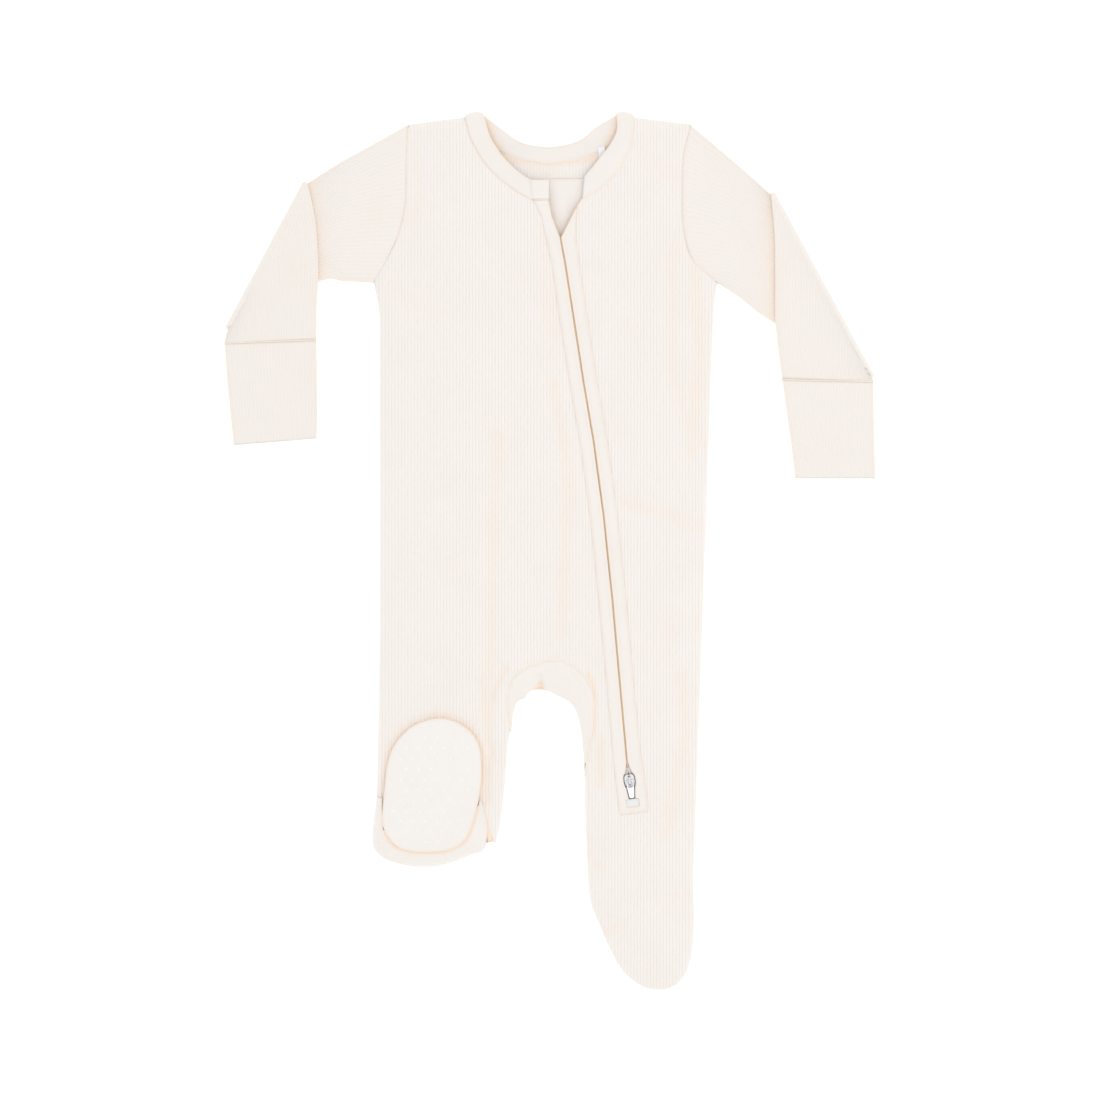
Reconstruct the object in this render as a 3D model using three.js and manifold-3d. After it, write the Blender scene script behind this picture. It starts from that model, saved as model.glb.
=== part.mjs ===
// Footed baby sleepsuit in rib knit, laid flat on its back with one foot turned up.
// Millimetres, +Z up, neck towards +Y. "Right" and "left" are the wearer's.
import * as THREE from "three";
import { mergeVertices } from "three/addons/utils/BufferGeometryUtils.js";
import Module from "manifold-3d";

// Cloth
const CLOTH = 1.2;
const SEAM_GAP = 0.3;
const RIB_PITCH = 2.1;
const RIB_RELIEF = 0.35;
const PLAIN_COLUMN = 6.3;

// Layers between the back and the front, from the floor up
const BACK_TOP = CLOTH;
const GUARD_FROM = BACK_TOP + SEAM_GAP;
const GUARD_TOP = GUARD_FROM + 1.0;
const TAPE_FROM = GUARD_TOP + SEAM_GAP;
const TAPE_TOP = TAPE_FROM + 1.0;

// The front stands off the back by its loft, which it reaches a short way in from a sewn edge
const LOFT = 2.8;
const LOFT_RUN = 24;
const PRESSED_LOFT = 0.3;
const PRESS_START = -84;
const PRESS_RUN = 24;

// Sleeves and cuffs are tubes pressed flat
const TUBE_HALF = 1.3;
const TUBE_WALL = 1.1;
const ELBOW_RADIUS = 1.75;
const SLEEVE_RIBS = 30;
const CUFF_RIBS = 27;

// Zip
const SLIT_HALF = 0.8;
const FACING_THICK = 1.0;
const TAPE_HALF = 8;
const GUARD_HALF = 13;
const SLIDER_AT = { x: 51.7, y: -149.2, tilt: THREE.MathUtils.degToRad(8) };
const WINDOW = { half: 5, top: 7, tip: 10, bottom: -18, corner: 1.2 };
const PIVOT_HEIGHT = 6.4;

// Turned-up foot
const FOOT_FROM = 4.25;
const SOLE_EDGE = 6.5;
const SOLE_CROWN = 0.9;
const SOLE_RUN = 14;
const HEEL_TOP = 7.9;

const CREAM = 0xf6efe4;
const PALE = 0xf7f1ea;
const WHITE = 0xf6f5f6;
const NICKEL = 0xb9bbbf;

const wasm = await Module();
wasm.setup();
const suit = new THREE.Group();

// Helpers in plan
const at = (x, y) => new THREE.Vector2(x, y);
const plan = (points) => points.map(([x, y]) => at(x, y));
const shifted = (points, dx, dy) => points.map((p) => at(p.x + dx, p.y + dy));
const ease = (t) => 1 - (1 - THREE.MathUtils.clamp(t, 0, 1)) ** 2;

function rounded(points, steps) {
  return new THREE.SplineCurve(plan(points)).getPoints(steps);
}

function distanceToLine(x, y, points) {
  let nearest = Infinity;
  for (let i = 1; i < points.length; i += 1) {
    const a = points[i - 1];
    const b = points[i];
    const dx = b.x - a.x;
    const dy = b.y - a.y;
    const t = ((x - a.x) * dx + (y - a.y) * dy) / (dx * dx + dy * dy);
    const s = THREE.MathUtils.clamp(t, 0, 1);
    nearest = Math.min(nearest, Math.hypot(x - a.x - s * dx, y - a.y - s * dy));
  }
  return nearest;
}

// Sewn edges of the body, seen from above
const SHOULDER_RIGHT = plan([[-41, 284.4], [-55.6, 282.4], [-92, 277.6]]);
const SHOULDER_LEFT = plan([[41, 284.4], [54.9, 282.4], [91.3, 277.6]]);
const ARMHOLE_RIGHT = [[-92, 277.6], [-93, 252], [-93.6, 226], [-98.5, 205], [-106, 189], [-114.7, 174.5]];
const ARMHOLE_LEFT = [[91.3, 277.6], [86.3, 258], [85.3, 232], [86.3, 209], [92.5, 189], [108.9, 174.5]];
const SIDE_RIGHT = rounded(
  [
    [-114.7, 174.5], [-112.6, 164], [-110.9, 150], [-110.8, 97.8], [-110.8, -32.2], [-111.5, -97.2],
    [-112.6, -158],
  ],
  16,
);
const SIDE_LEFT = rounded(
  [[108.9, 174.5], [107, 163], [106, 143.3], [104.3, 97.8], [99.8, -32.2], [97.5, -97.2], [93.6, -205]],
  16,
);
const TOE_LEFT = rounded(
  [
    [93.6, -205], [93.6, -226], [93.9, -240], [92.4, -262], [87.5, -276.5], [78, -284.6], [65.3, -285.2],
    [54.5, -280], [45.8, -271.4], [38.5, -258], [31, -240.4], [26.2, -228], [24.4, -209], [24.4, -205],
  ],
  34,
);
const INSEAM_LEFT = rounded([[24.4, -205], [23.1, -181.7], [22.9, -160], [22.6, -146]], 6);
const LEG_GAP = rounded(
  [
    [22.6, -146], [21.1, -125.8], [19.6, -114], [17, -104.5], [13, -98.6], [4.9, -94.3], [-2.9, -90.6],
    [-12, -90.8], [-16.4, -96], [-21.2, -98.4], [-23.7, -105.5], [-25.2, -117],
  ],
  26,
);
const INSEAM_RIGHT = rounded([[-25.2, -117], [-27.6, -127], [-28.9, -146.6], [-31, -168], [-34.6, -191]], 8);
const HEEL_OUTLINE = rounded(
  [
    [-34.6, -191], [-44, -194.7], [-59.5, -201.2], [-72, -205], [-87.4, -205.5], [-100.4, -203.1],
    [-109.5, -199.2], [-114.9, -192.8], [-115.6, -184], [-114.2, -172], [-112.6, -158],
  ],
  26,
);
const SEWN_EDGES = [
  SHOULDER_RIGHT, SHOULDER_LEFT, plan(ARMHOLE_RIGHT), plan(ARMHOLE_LEFT), SIDE_RIGHT, SIDE_LEFT,
  TOE_LEFT, INSEAM_LEFT, LEG_GAP, INSEAM_RIGHT, HEEL_OUTLINE,
];

// Soft folds of the front: each runs from one point to another, with its half width and its lift
const FOLDS = [
  { from: at(1, 108), to: at(11, 48), reach: 6, lift: -0.35 },
  { from: at(11, 48), to: at(8, -52), reach: 7, lift: -0.3 },
  { from: at(-2, 118), to: at(-4, -20), reach: 9, lift: 0.4 },
  { from: at(-34, 56), to: at(-40, -98), reach: 8, lift: -0.45 },
  { from: at(-25, -80), to: at(-39, -108), reach: 5, lift: -0.5 },
  { from: at(-39, -108), to: at(-36, -150), reach: 5, lift: -0.4 },
  { from: at(80, 197), to: at(79, 113), reach: 7, lift: 0.45 },
  { from: at(79, 113), to: at(101, 68), reach: 7, lift: 0.4 },
  { from: at(94, 189), to: at(92, 64), reach: 6, lift: -0.4 },
  { from: at(64, 22), to: at(99, 14), reach: 8, lift: 0.4 },
  { from: at(84, -82), to: at(87, -119), reach: 6, lift: -0.4 },
  { from: at(87, -119), to: at(74, -185), reach: 7, lift: -0.4 },
  { from: at(36, -248), to: at(48, -242), reach: 6, lift: -0.4 },
];

function foldLift(x, y) {
  let lift = 0;
  for (const fold of FOLDS) {
    const away = distanceToLine(x, y, [fold.from, fold.to]) / fold.reach;
    lift += fold.lift * Math.exp(-away * away);
  }
  return THREE.MathUtils.clamp(lift, -0.6, 0.6);
}

// Height of the front's under face: it drops to the back at a sewn edge, and under the turned-up foot
function frontUnder(x, y) {
  const inward = Math.min(...SEWN_EDGES.map((edge) => distanceToLine(x, y, edge)));
  const press = x < -10 ? ease((PRESS_START - y) / PRESS_RUN) : 0;
  const loft = LOFT * (1 - (1 - PRESSED_LOFT) * press);
  const rise = ease(inward / LOFT_RUN);
  return BACK_TOP + SEAM_GAP + rise * (loft + foldLift(x, y));
}

// Stitches two rows of points into a band of triangles, also where one row has more points.
// A row is a list of { s, p }, with s running from 0 to 1.
function stitch(triangles, from, to) {
  let i = 0;
  let j = 0;
  while (i < from.length - 1 || j < to.length - 1) {
    const stepFrom = j === to.length - 1 || (i < from.length - 1 && from[i + 1].s <= to[j + 1].s);
    if (stepFrom) {
      triangles.push(from[i].p, to[j].p, from[i + 1].p);
      i += 1;
    } else {
      triangles.push(from[i].p, to[j].p, to[j + 1].p);
      j += 1;
    }
  }
}

function closedGeometry(triangles) {
  let volume = 0;
  for (let i = 0; i < triangles.length; i += 3) {
    const [a, b, c] = triangles.slice(i, i + 3);
    volume += a.dot(b.clone().cross(c));
  }
  const facing = [];
  for (let i = 0; i < triangles.length; i += 3) {
    const [a, b, c] = triangles.slice(i, i + 3);
    facing.push(a, ...(volume > 0 ? [b, c] : [c, b]));
  }
  return new THREE.BufferGeometry().setFromPoints(facing);
}

// A wall between its upper rows and its under rows, closed along its four edges
function wallBetween(uppers, unders) {
  const triangles = [];
  const last = uppers.length - 1;
  const sideOf = (i, index) => [
    { s: 0, p: unders[i].at(index).p },
    { s: 1, p: uppers[i].at(index).p },
  ];
  for (let i = 0; i < last; i += 1) {
    stitch(triangles, uppers[i], uppers[i + 1]);
    stitch(triangles, unders[i + 1], unders[i]);
    stitch(triangles, sideOf(i, 0), sideOf(i + 1, 0));
    stitch(triangles, sideOf(i + 1, -1), sideOf(i, -1));
  }
  stitch(triangles, unders[0], uppers[0]);
  stitch(triangles, uppers[last], unders[last]);
  return closedGeometry(triangles);
}

// A tube pressed flat: the outer face and the inner face each have an upper and an under row
function tubeBetween(rings) {
  const triangles = [];
  const last = rings.length - 1;
  for (let i = 0; i < last; i += 1) {
    const near = rings[i];
    const far = rings[i + 1];
    stitch(triangles, near.upper, far.upper);
    stitch(triangles, far.under, near.under);
    stitch(triangles, far.innerUpper, near.innerUpper);
    stitch(triangles, near.innerUnder, far.innerUnder);
  }
  stitch(triangles, rings[0].innerUpper, rings[0].upper);
  stitch(triangles, rings[0].under, rings[0].innerUnder);
  stitch(triangles, rings[last].upper, rings[last].innerUpper);
  stitch(triangles, rings[last].innerUnder, rings[last].under);
  return closedGeometry(triangles);
}

// A row of points across a sheet at one y, ribbed or plain
function sheetRow(y, left, right, step, height) {
  const count = Math.round((right - left) / step);
  return Array.from({ length: count + 1 }, (_, i) => {
    const x = left + (i * (right - left)) / count;
    return { s: i / count, p: new THREE.Vector3(x, y, height(x, y, i)) };
  });
}

function solidOf(geometry) {
  const bare = geometry.index ? geometry.toNonIndexed() : geometry.clone();
  bare.deleteAttribute("normal");
  bare.deleteAttribute("uv");
  const merged = mergeVertices(bare, 1e-4);
  const mesh = new wasm.Mesh({
    numProp: 3,
    vertProperties: merged.attributes.position.array,
    triVerts: new Uint32Array(merged.index.array),
  });
  return new wasm.Manifold(mesh);
}

function geometryOf(solid) {
  const mesh = solid.getMesh();
  const geometry = new THREE.BufferGeometry();
  geometry.setAttribute("position", new THREE.Float32BufferAttribute(mesh.vertProperties, 3));
  geometry.setIndex(Array.from(mesh.triVerts));
  return geometry.toNonIndexed();
}

function slab(outline, from, to) {
  const depth = to - from;
  const geometry = new THREE.ExtrudeGeometry(new THREE.Shape(outline), { depth, bevelEnabled: false });
  return geometry.translate(0, 0, from);
}

// Cuts a sheet of cloth to the outline of its pattern piece
function cutToOutline(sheet, outline) {
  return geometryOf(solidOf(sheet).intersect(solidOf(slab(outline, -5, 40))));
}

// A sheet over the outline's box that follows the heights given, then cut to the outline
function clothPiece(outline, rows, columns, upper, under) {
  const box = new THREE.Box2().setFromPoints(outline);
  const left = box.min.x - 1.3;
  const right = box.max.x + 1.3;
  const levels = [box.min.y - 1.7, ...rows, box.max.y + 1.7];
  const uppers = levels.map((y) => sheetRow(y, left, right, columns, upper));
  const unders = levels.map((y) => sheetRow(y, left, right, PLAIN_COLUMN, under));
  return cutToOutline(wallBetween(uppers, unders), outline);
}

function evenly(from, to, count) {
  return Array.from({ length: count }, (_, i) => from + ((to - from) * (i + 0.5)) / count);
}

function addPiece(name, geometry, color, roughness = 0.9, metalness = 0) {
  const material = new THREE.MeshStandardMaterial({ color, roughness, metalness });
  geometry.computeVertexNormals();
  const mesh = new THREE.Mesh(geometry, material);
  mesh.name = name;
  suit.add(mesh);
  return mesh;
}

// Neckband: its inner and outer edges, from the chin tab over the back to the other zip edge
const BAND_FRONT_RIGHT = {
  inner: [[-13.2, 241.8], [-21.8, 247.8], [-30.9, 257.1], [-38.7, 269.4], [-43, 283.6]],
  outer: [[-11.2, 228.3], [-24.5, 236], [-39.5, 249], [-50.5, 266], [-55.3, 282.3]],
};
const BAND_BACK = {
  inner: [[-43, 283.6], [-31, 275.9], [-20, 267.4], [-0.3, 263.5], [19, 267.4], [28, 275.9], [43, 283.6]],
  outer: [[-55.3, 282.3], [-46, 268.5], [-33, 259.8], [-0.3, 251.9], [32, 259.8], [45, 268.5], [54.6, 282.3]],
};
const BAND_FRONT_LEFT = {
  inner: [[43, 283.6], [43.4, 274], [39.3, 264.9], [32.6, 256], [22.2, 243.2]],
  outer: [[54.6, 282.3], [52.6, 266.5], [46.5, 251], [35.5, 238.6], [20.9, 229.3]],
};
const BAND_STEPS = 12;
const FOLD_RADIUS = (BACK_TOP + SEAM_GAP) / 2;

// The neck edge of the front or the back, which the band's outer edge meets
const neckEdge = (band) => rounded(band.outer, BAND_STEPS);

function bandRow(inner, outer, height, turn) {
  const towards = inner.clone().sub(outer).setLength(SEAM_GAP);
  const from = inner;
  const to = outer.clone().add(towards);
  const out = new THREE.Vector3(0, FOLD_RADIUS * Math.sin(turn), FOLD_RADIUS * (1 - Math.cos(turn)));
  const face = new THREE.Vector3(0, -Math.sin(turn), Math.cos(turn));
  const row = (side) =>
    [0, 0.5, 1].map((s) => {
      const p = from.clone().lerp(to, s);
      const base = new THREE.Vector3(p.x, p.y, height(p.x, p.y)).add(out);
      return { s, p: base.addScaledVector(face, (side * CLOTH) / 2) };
    });
  return { upper: row(1), under: row(-1) };
}

function neckband() {
  const rows = [];
  const frontHeight = (x, y) => frontUnder(x, y) + CLOTH / 2 - 2 * FOLD_RADIUS;
  const backHeight = () => CLOTH / 2;
  const addStretch = (band, height, turn, skipFirst, skipLast) => {
    const inner = rounded(band.inner, BAND_STEPS);
    const outer = neckEdge(band);
    for (let i = skipFirst ? 1 : 0; i <= BAND_STEPS - (skipLast ? 1 : 0); i += 1)
      rows.push(bandRow(inner[i], outer[i], height, turn));
  };
  const addFold = (band, index, turns) => {
    const inner = at(...band.inner.at(index));
    const outer = at(...band.outer.at(index));
    for (const turn of turns) rows.push(bandRow(inner, outer, backHeight, THREE.MathUtils.degToRad(turn)));
  };
  addStretch(BAND_FRONT_RIGHT, frontHeight, Math.PI, false, true);
  addFold(BAND_BACK, 0, [180, 135, 90, 45]);
  addStretch(BAND_BACK, backHeight, 0, false, false);
  addFold(BAND_BACK, -1, [45, 90, 135, 180]);
  addStretch(BAND_FRONT_LEFT, frontHeight, Math.PI, true, false);
  return wallBetween(rows.map((row) => row.upper), rows.map((row) => row.under));
}

// Zip line: its x and the facing's outer edges at each y
const ZIP_ROWS = [
  { y: 203.8, zip: 6.8, left: -2.8, right: 17.0 },
  { y: 185.6, zip: 10.1, left: 1.2, right: 19.4 },
  { y: 156.3, zip: 14.6, left: 5.4, right: 23.7 },
  { y: 109.5, zip: 21.8, left: 12.6, right: 30.9 },
  { y: 71.8, zip: 28.3, left: 19.2, right: 37.4 },
  { y: 23.7, zip: 34.8, left: 25.8, right: 43.9 },
  { y: -32.2, zip: 40.6, left: 31.6, right: 49.7 },
  { y: -90.7, zip: 45.8, left: 37.0, right: 54.9 },
  { y: -136, zip: 49.9, left: 41.0, right: 59.5 },
];
const NECK_GAP_RIGHT = plan([[-0.8, 228.2], [1.4, 217.4]]);
const NECK_GAP_LEFT = plan([[12, 213.5], [16.6, 222.6], [20.5, 229.1]]);

// A point given across and along the zip at its slider
function bySlider(across, along) {
  const turned = at(across, along).rotateAround(at(0, 0), SLIDER_AT.tilt);
  return turned.add(at(SLIDER_AT.x, SLIDER_AT.y));
}

const zipSide = (offset) => ZIP_ROWS.map((row) => at(row.zip + offset, row.y));

// The slit from the neck down its right side, round the slider's window and up its left side
function slitLine() {
  const { half, top, tip, bottom, corner } = WINDOW;
  const window = [
    bySlider(-SLIT_HALF, tip), bySlider(-half, top), bySlider(-half, bottom + corner),
    bySlider(-half + corner, bottom), bySlider(half - corner, bottom), bySlider(half, bottom + corner),
    bySlider(half, top), bySlider(SLIT_HALF, tip),
  ];
  return [
    ...NECK_GAP_RIGHT, ...zipSide(-SLIT_HALF), ...window, ...zipSide(SLIT_HALF).reverse(), ...NECK_GAP_LEFT,
  ];
}

// Crotch seam of the gusset, from the left leg over to the right leg
const CROTCH_SEAM = rounded(
  [
    [22.6, -146], [26.3, -124.5], [28, -108.2], [27.2, -92], [21.4, -80.3], [10.7, -72.6], [-1, -71.4],
    [-12, -75], [-23.7, -82.2], [-27.4, -94], [-27.4, -105], [-25.2, -117],
  ],
  26,
);
const GUSSET_MIDDLE = at(0, -112);
const ARMHOLE_STEPS = 22;
const armholeCurve = (points) => new THREE.SplineCurve(plan(points));
const armholeSteps = (points) => armholeCurve(points).getSpacedPoints(ARMHOLE_STEPS);
const RIGHT_ARMHOLE_EDGE = shifted(armholeSteps(ARMHOLE_RIGHT), SEAM_GAP, -0.2);
const LEFT_ARMHOLE_EDGE = shifted(armholeSteps(ARMHOLE_LEFT), -SEAM_GAP, -0.2);

function frontOutline() {
  const seamOutward = CROTCH_SEAM.slice(1, -1).map((p) => {
    const away = p.clone().sub(GUSSET_MIDDLE).setLength(1.5 * SEAM_GAP);
    return p.clone().add(away);
  });
  const rightLegEnd = plan([
    [-35.6, -190.2], [-39.4, -190.6], [-39.4, -183], [-46, -178], [-60, -186], [-90, -188], [-104, -182],
    [-109.8, -170],
  ]);
  return [
    ...neckEdge(BAND_FRONT_RIGHT).reverse(), ...slitLine(), ...neckEdge(BAND_FRONT_LEFT).reverse(),
    ...LEFT_ARMHOLE_EDGE, ...SIDE_LEFT.slice(1), ...TOE_LEFT.slice(1), ...INSEAM_LEFT.slice(1),
    ...seamOutward, ...INSEAM_RIGHT.slice(0, -1), ...rightLegEnd, ...SIDE_RIGHT.toReversed().slice(0, -1),
    ...RIGHT_ARMHOLE_EDGE.toReversed(),
  ];
}

function backOutline() {
  const heelInward = plan([
    [-37, -188.5], [-44, -191], [-59.5, -197.6], [-72, -201.4], [-87.4, -202], [-99, -199.8], [-107, -196.2],
    [-111.2, -191], [-112, -184], [-110.6, -172], [-109.4, -163],
  ]);
  const legEndLeft = plan([[93.6, -204.4], [24.4, -204.4]]);
  return [
    ...neckEdge(BAND_BACK), ...LEFT_ARMHOLE_EDGE, ...SIDE_LEFT.slice(1, -1), ...legEndLeft,
    ...INSEAM_LEFT.slice(1), ...LEG_GAP.slice(1), ...INSEAM_RIGHT.slice(1, -1), ...heelInward,
    ...SIDE_RIGHT.toReversed().slice(1, -1), ...RIGHT_ARMHOLE_EDGE.toReversed(),
  ];
}

const FRONT_ROWS = [-262, -236, -204, -170, -138, -108, -86, -50, 20, 90, 150, 198, 236, 264];
const ribOf = (i) => (i % 2 ? RIB_RELIEF : 0);
const frontTop = (x, y, i) => frontUnder(x, y) + CLOTH + ribOf(i);
const FRONT_FACE = CLOTH + RIB_RELIEF + SEAM_GAP;

function front() {
  return clothPiece(frontOutline(), FRONT_ROWS, RIB_PITCH / 2, frontTop, frontUnder);
}

function crotchGusset() {
  const legGapIn = LEG_GAP.slice(1, -1);
  const outline = [...CROTCH_SEAM.slice(1, -1).toReversed(), ...legGapIn];
  const upper = (x, y) => frontUnder(x, y) + CLOTH;
  return clothPiece(outline, evenly(-140, -72, 5), PLAIN_COLUMN, upper, frontUnder);
}

function zipFacing() {
  const foot = [bySlider(12, -4), bySlider(12, -20), bySlider(10.5, -21.5), bySlider(-8, -21.5)];
  const footLeft = [bySlider(-9.5, -20), bySlider(-9.3, -4)];
  const outline = [
    ...slitLine().slice(0, -1), ...plan([[17.9, 223.3], [16.9, 214.8]]),
    ...ZIP_ROWS.map((row) => at(row.right, row.y)), ...foot, ...footLeft,
    ...ZIP_ROWS.map((row) => at(row.left, row.y)).reverse(), ...plan([[-5.5, 217.4], [-10.6, 228]]),
  ];
  const under = (x, y) => frontUnder(x, y) + FRONT_FACE;
  const upper = (x, y) => under(x, y) + FACING_THICK;
  return clothPiece(outline, FRONT_ROWS, PLAIN_COLUMN, upper, under);
}

function chinTab() {
  const outline = plan([[-12.4, 241.4], [-0.4, 241.4], [-0.4, 228.9], [-10.7, 228.9]]);
  const under = BACK_TOP + SEAM_GAP + LOFT;
  return slab(outline, under, under + CLOTH + 0.5);
}

function zipGuard() {
  const rows = ZIP_ROWS.slice(0, -1);
  const outline = [
    ...plan([[-15, 241.6], [22.6, 242.4], [27, 216]]),
    ...rows.map((row) => at(row.zip + GUARD_HALF, row.y)),
    at(49.9 + GUARD_HALF, -132),
    at(49.9 - GUARD_HALF, -132),
    ...rows.map((row) => at(row.zip - GUARD_HALF, row.y)).reverse(),
    at(-13, 216),
  ];
  return slab(outline, GUARD_FROM, GUARD_TOP);
}

function zipTape(side, neckGap) {
  const inset = SLIT_HALF + 0.25;
  const inner = [
    ...neckGap.map((p) => at(p.x + side * 0.3, p.y)), ...zipSide(side * inset),
    bySlider(side * inset, 4), bySlider(side * inset, -20),
  ];
  const outer = inner.map((p) => at(p.x + side * (TAPE_HALF - inset), p.y)).reverse();
  return slab([...inner, ...outer], TAPE_FROM, TAPE_TOP);
}

// Zip slider, drawn about the pull's pivot: two plates, the post between them and the bridge above
function roundedPlate(halfWide, tip, from, to) {
  const outline = new THREE.Shape();
  outline.moveTo(-halfWide * 0.62, -tip);
  outline.lineTo(halfWide * 0.62, -tip);
  outline.quadraticCurveTo(halfWide, -tip * 0.6, halfWide, tip * 0.2);
  outline.quadraticCurveTo(halfWide, tip * 0.9, halfWide * 0.5, tip);
  outline.lineTo(-halfWide * 0.5, tip);
  outline.quadraticCurveTo(-halfWide, tip * 0.9, -halfWide, tip * 0.2);
  outline.quadraticCurveTo(-halfWide, -tip * 0.6, -halfWide * 0.62, -tip);
  const options = { depth: to - from, bevelEnabled: false, curveSegments: 4 };
  return new THREE.ExtrudeGeometry(outline, options).translate(0, 0, from);
}

const SLIDER = { halfWide: 3.6, tip: 4.3, plate: 0.8, bridgeHalf: 0.8, bridgeReach: 3.2, bridgeThick: 0.8 };
const PULL = { bar: 0.45, opening: 1.4, arm: 2.35, openingEnd: 4.3, shoulder: 5.1, length: 11.6, half: 0.5 };

function zipSlider() {
  const upperFrom = TAPE_TOP + SEAM_GAP;
  const upperTo = upperFrom + SLIDER.plate;
  const lowerTo = TAPE_FROM - SEAM_GAP;
  const upperPlate = roundedPlate(SLIDER.halfWide, SLIDER.tip, upperFrom, upperTo);
  const lowerPlate = roundedPlate(SLIDER.halfWide, SLIDER.tip, lowerTo - SLIDER.plate, lowerTo);
  const post = new THREE.BoxGeometry(1.2, 2.4, upperFrom - lowerTo + 0.4);
  post.translate(0, 2.4, (upperFrom + lowerTo) / 2);
  const under = PIVOT_HEIGHT + PULL.bar + SEAM_GAP;
  const top = under + SLIDER.bridgeThick;
  const bridge = new THREE.Shape();
  const { bridgeReach: reach, bridgeThick: thick } = SLIDER;
  bridge.moveTo(-reach, upperTo - 0.2);
  bridge.lineTo(-reach, under);
  bridge.quadraticCurveTo(-reach, top, -reach + 1.4, top);
  bridge.lineTo(reach - 1.4, top);
  bridge.quadraticCurveTo(reach, top, reach, under);
  bridge.lineTo(reach, upperTo - 0.2);
  bridge.lineTo(reach - thick, upperTo - 0.2);
  bridge.lineTo(reach - thick, under);
  bridge.lineTo(-reach + thick, under);
  bridge.lineTo(-reach + thick, upperTo - 0.2);
  const options = { depth: 2 * SLIDER.bridgeHalf, bevelEnabled: false, curveSegments: 3 };
  const arch = new THREE.ExtrudeGeometry(bridge, options);
  arch.translate(0, 0, -SLIDER.bridgeHalf).rotateX(Math.PI / 2).rotateZ(Math.PI / 2);
  const solid = [lowerPlate, post, arch].reduce((sum, piece) => sum.add(solidOf(piece)), solidOf(upperPlate));
  return geometryOf(solid);
}

// Pull tab: a plate with an opening whose end bar turns under the bridge
function zipPull() {
  const outline = new THREE.Shape();
  outline.moveTo(-PULL.arm, PULL.bar);
  outline.lineTo(-PULL.arm, -PULL.shoulder);
  outline.lineTo(-PULL.arm * 0.8, -PULL.length + 2);
  outline.quadraticCurveTo(-PULL.arm * 0.75, -PULL.length, 0, -PULL.length);
  outline.quadraticCurveTo(PULL.arm * 0.75, -PULL.length, PULL.arm * 0.8, -PULL.length + 2);
  outline.lineTo(PULL.arm, -PULL.shoulder);
  outline.lineTo(PULL.arm, PULL.bar);
  const opening = new THREE.Path();
  opening.moveTo(-PULL.opening, -PULL.bar);
  opening.lineTo(PULL.opening, -PULL.bar);
  opening.lineTo(PULL.opening, -PULL.openingEnd);
  opening.lineTo(-PULL.opening, -PULL.openingEnd);
  outline.holes.push(opening);
  const options = { depth: 2 * PULL.half, bevelEnabled: false, curveSegments: 5 };
  return new THREE.ExtrudeGeometry(outline, options).translate(0, 0, -PULL.half);
}

function zipFilm() {
  const outline = [bySlider(-4.4, -12), bySlider(4.4, -12), bySlider(4.4, -16.6), bySlider(-4.4, -16.6)];
  return slab(outline, TAPE_TOP + SEAM_GAP, TAPE_TOP + SEAM_GAP + 0.6);
}

// Sleeves: a row for each section, with its shoulder edge, its underarm edge and its height.
// The elbow row is the crease, about which the forearm is turned back over the upper arm.
const SLEEVE_RIGHT = {
  armhole: ARMHOLE_RIGHT,
  upperArm: [
    { shoulder: [-116, 264.2], underarm: [-133, 175.3] },
    { shoulder: [-138, 252], underarm: [-152.5, 174.4] },
  ],
  elbow: { shoulder: [-157.6, 239.4], underarm: [-208.8, 143.6] },
  forearm: [
    { shoulder: [-152.4, 214], underarm: [-210.2, 141.8], height: 4.8 },
    { shoulder: [-150.5, 182.3], underarm: [-210.9, 139.2], height: 4.8 },
    { shoulder: [-151.6, 158], underarm: [-211.3, 137], height: 4.7 },
    { shoulder: [-151.8, 137.4], underarm: [-211.6, 135.2], height: 4.5 },
  ],
  cuff: [
    { shoulder: [-151.8, 137.1], underarm: [-211.6, 134.9], height: 4.5 },
    { shoulder: [-151.4, 113], underarm: [-210.2, 113.2], height: 2.6 },
    { shoulder: [-151.2, 92], underarm: [-208.3, 92.6], height: 1.6 },
    { shoulder: [-151.8, 73.2], underarm: [-206, 68.8], height: 1.35 },
  ],
};
const SLEEVE_LEFT = {
  armhole: ARMHOLE_LEFT,
  upperArm: [
    { shoulder: [112, 260], underarm: [124, 164.4] },
    { shoulder: [130, 244.5], underarm: [145, 148.8] },
  ],
  elbow: { shoulder: [143.4, 232.4], underarm: [208.8, 112] },
  forearm: [
    { shoulder: [145.8, 205], underarm: [209.8, 111.6], height: 4.8 },
    { shoulder: [146.2, 174.5], underarm: [210, 111.2], height: 4.8 },
    { shoulder: [146.6, 147.9], underarm: [210.2, 110.8], height: 4.7 },
    { shoulder: [150.9, 111.5], underarm: [210.3, 110.3], height: 4.5 },
  ],
  cuff: [
    { shoulder: [151, 111.2], underarm: [210.3, 110], height: 4.5 },
    { shoulder: [154, 90], underarm: [210.7, 89], height: 2.6 },
    { shoulder: [157, 68], underarm: [211.3, 68], height: 1.6 },
    { shoulder: [159.6, 47.2], underarm: [211.8, 47.2], height: 1.35 },
  ],
};
const PLAIN_STOPS = [0, 0.012, 0.03, 0.16, 0.34, 0.5, 0.66, 0.84, 0.97, 0.988, 1];
const INNER_STOPS = [0, 0.015, 0.25, 0.5, 0.75, 0.985, 1];

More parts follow.
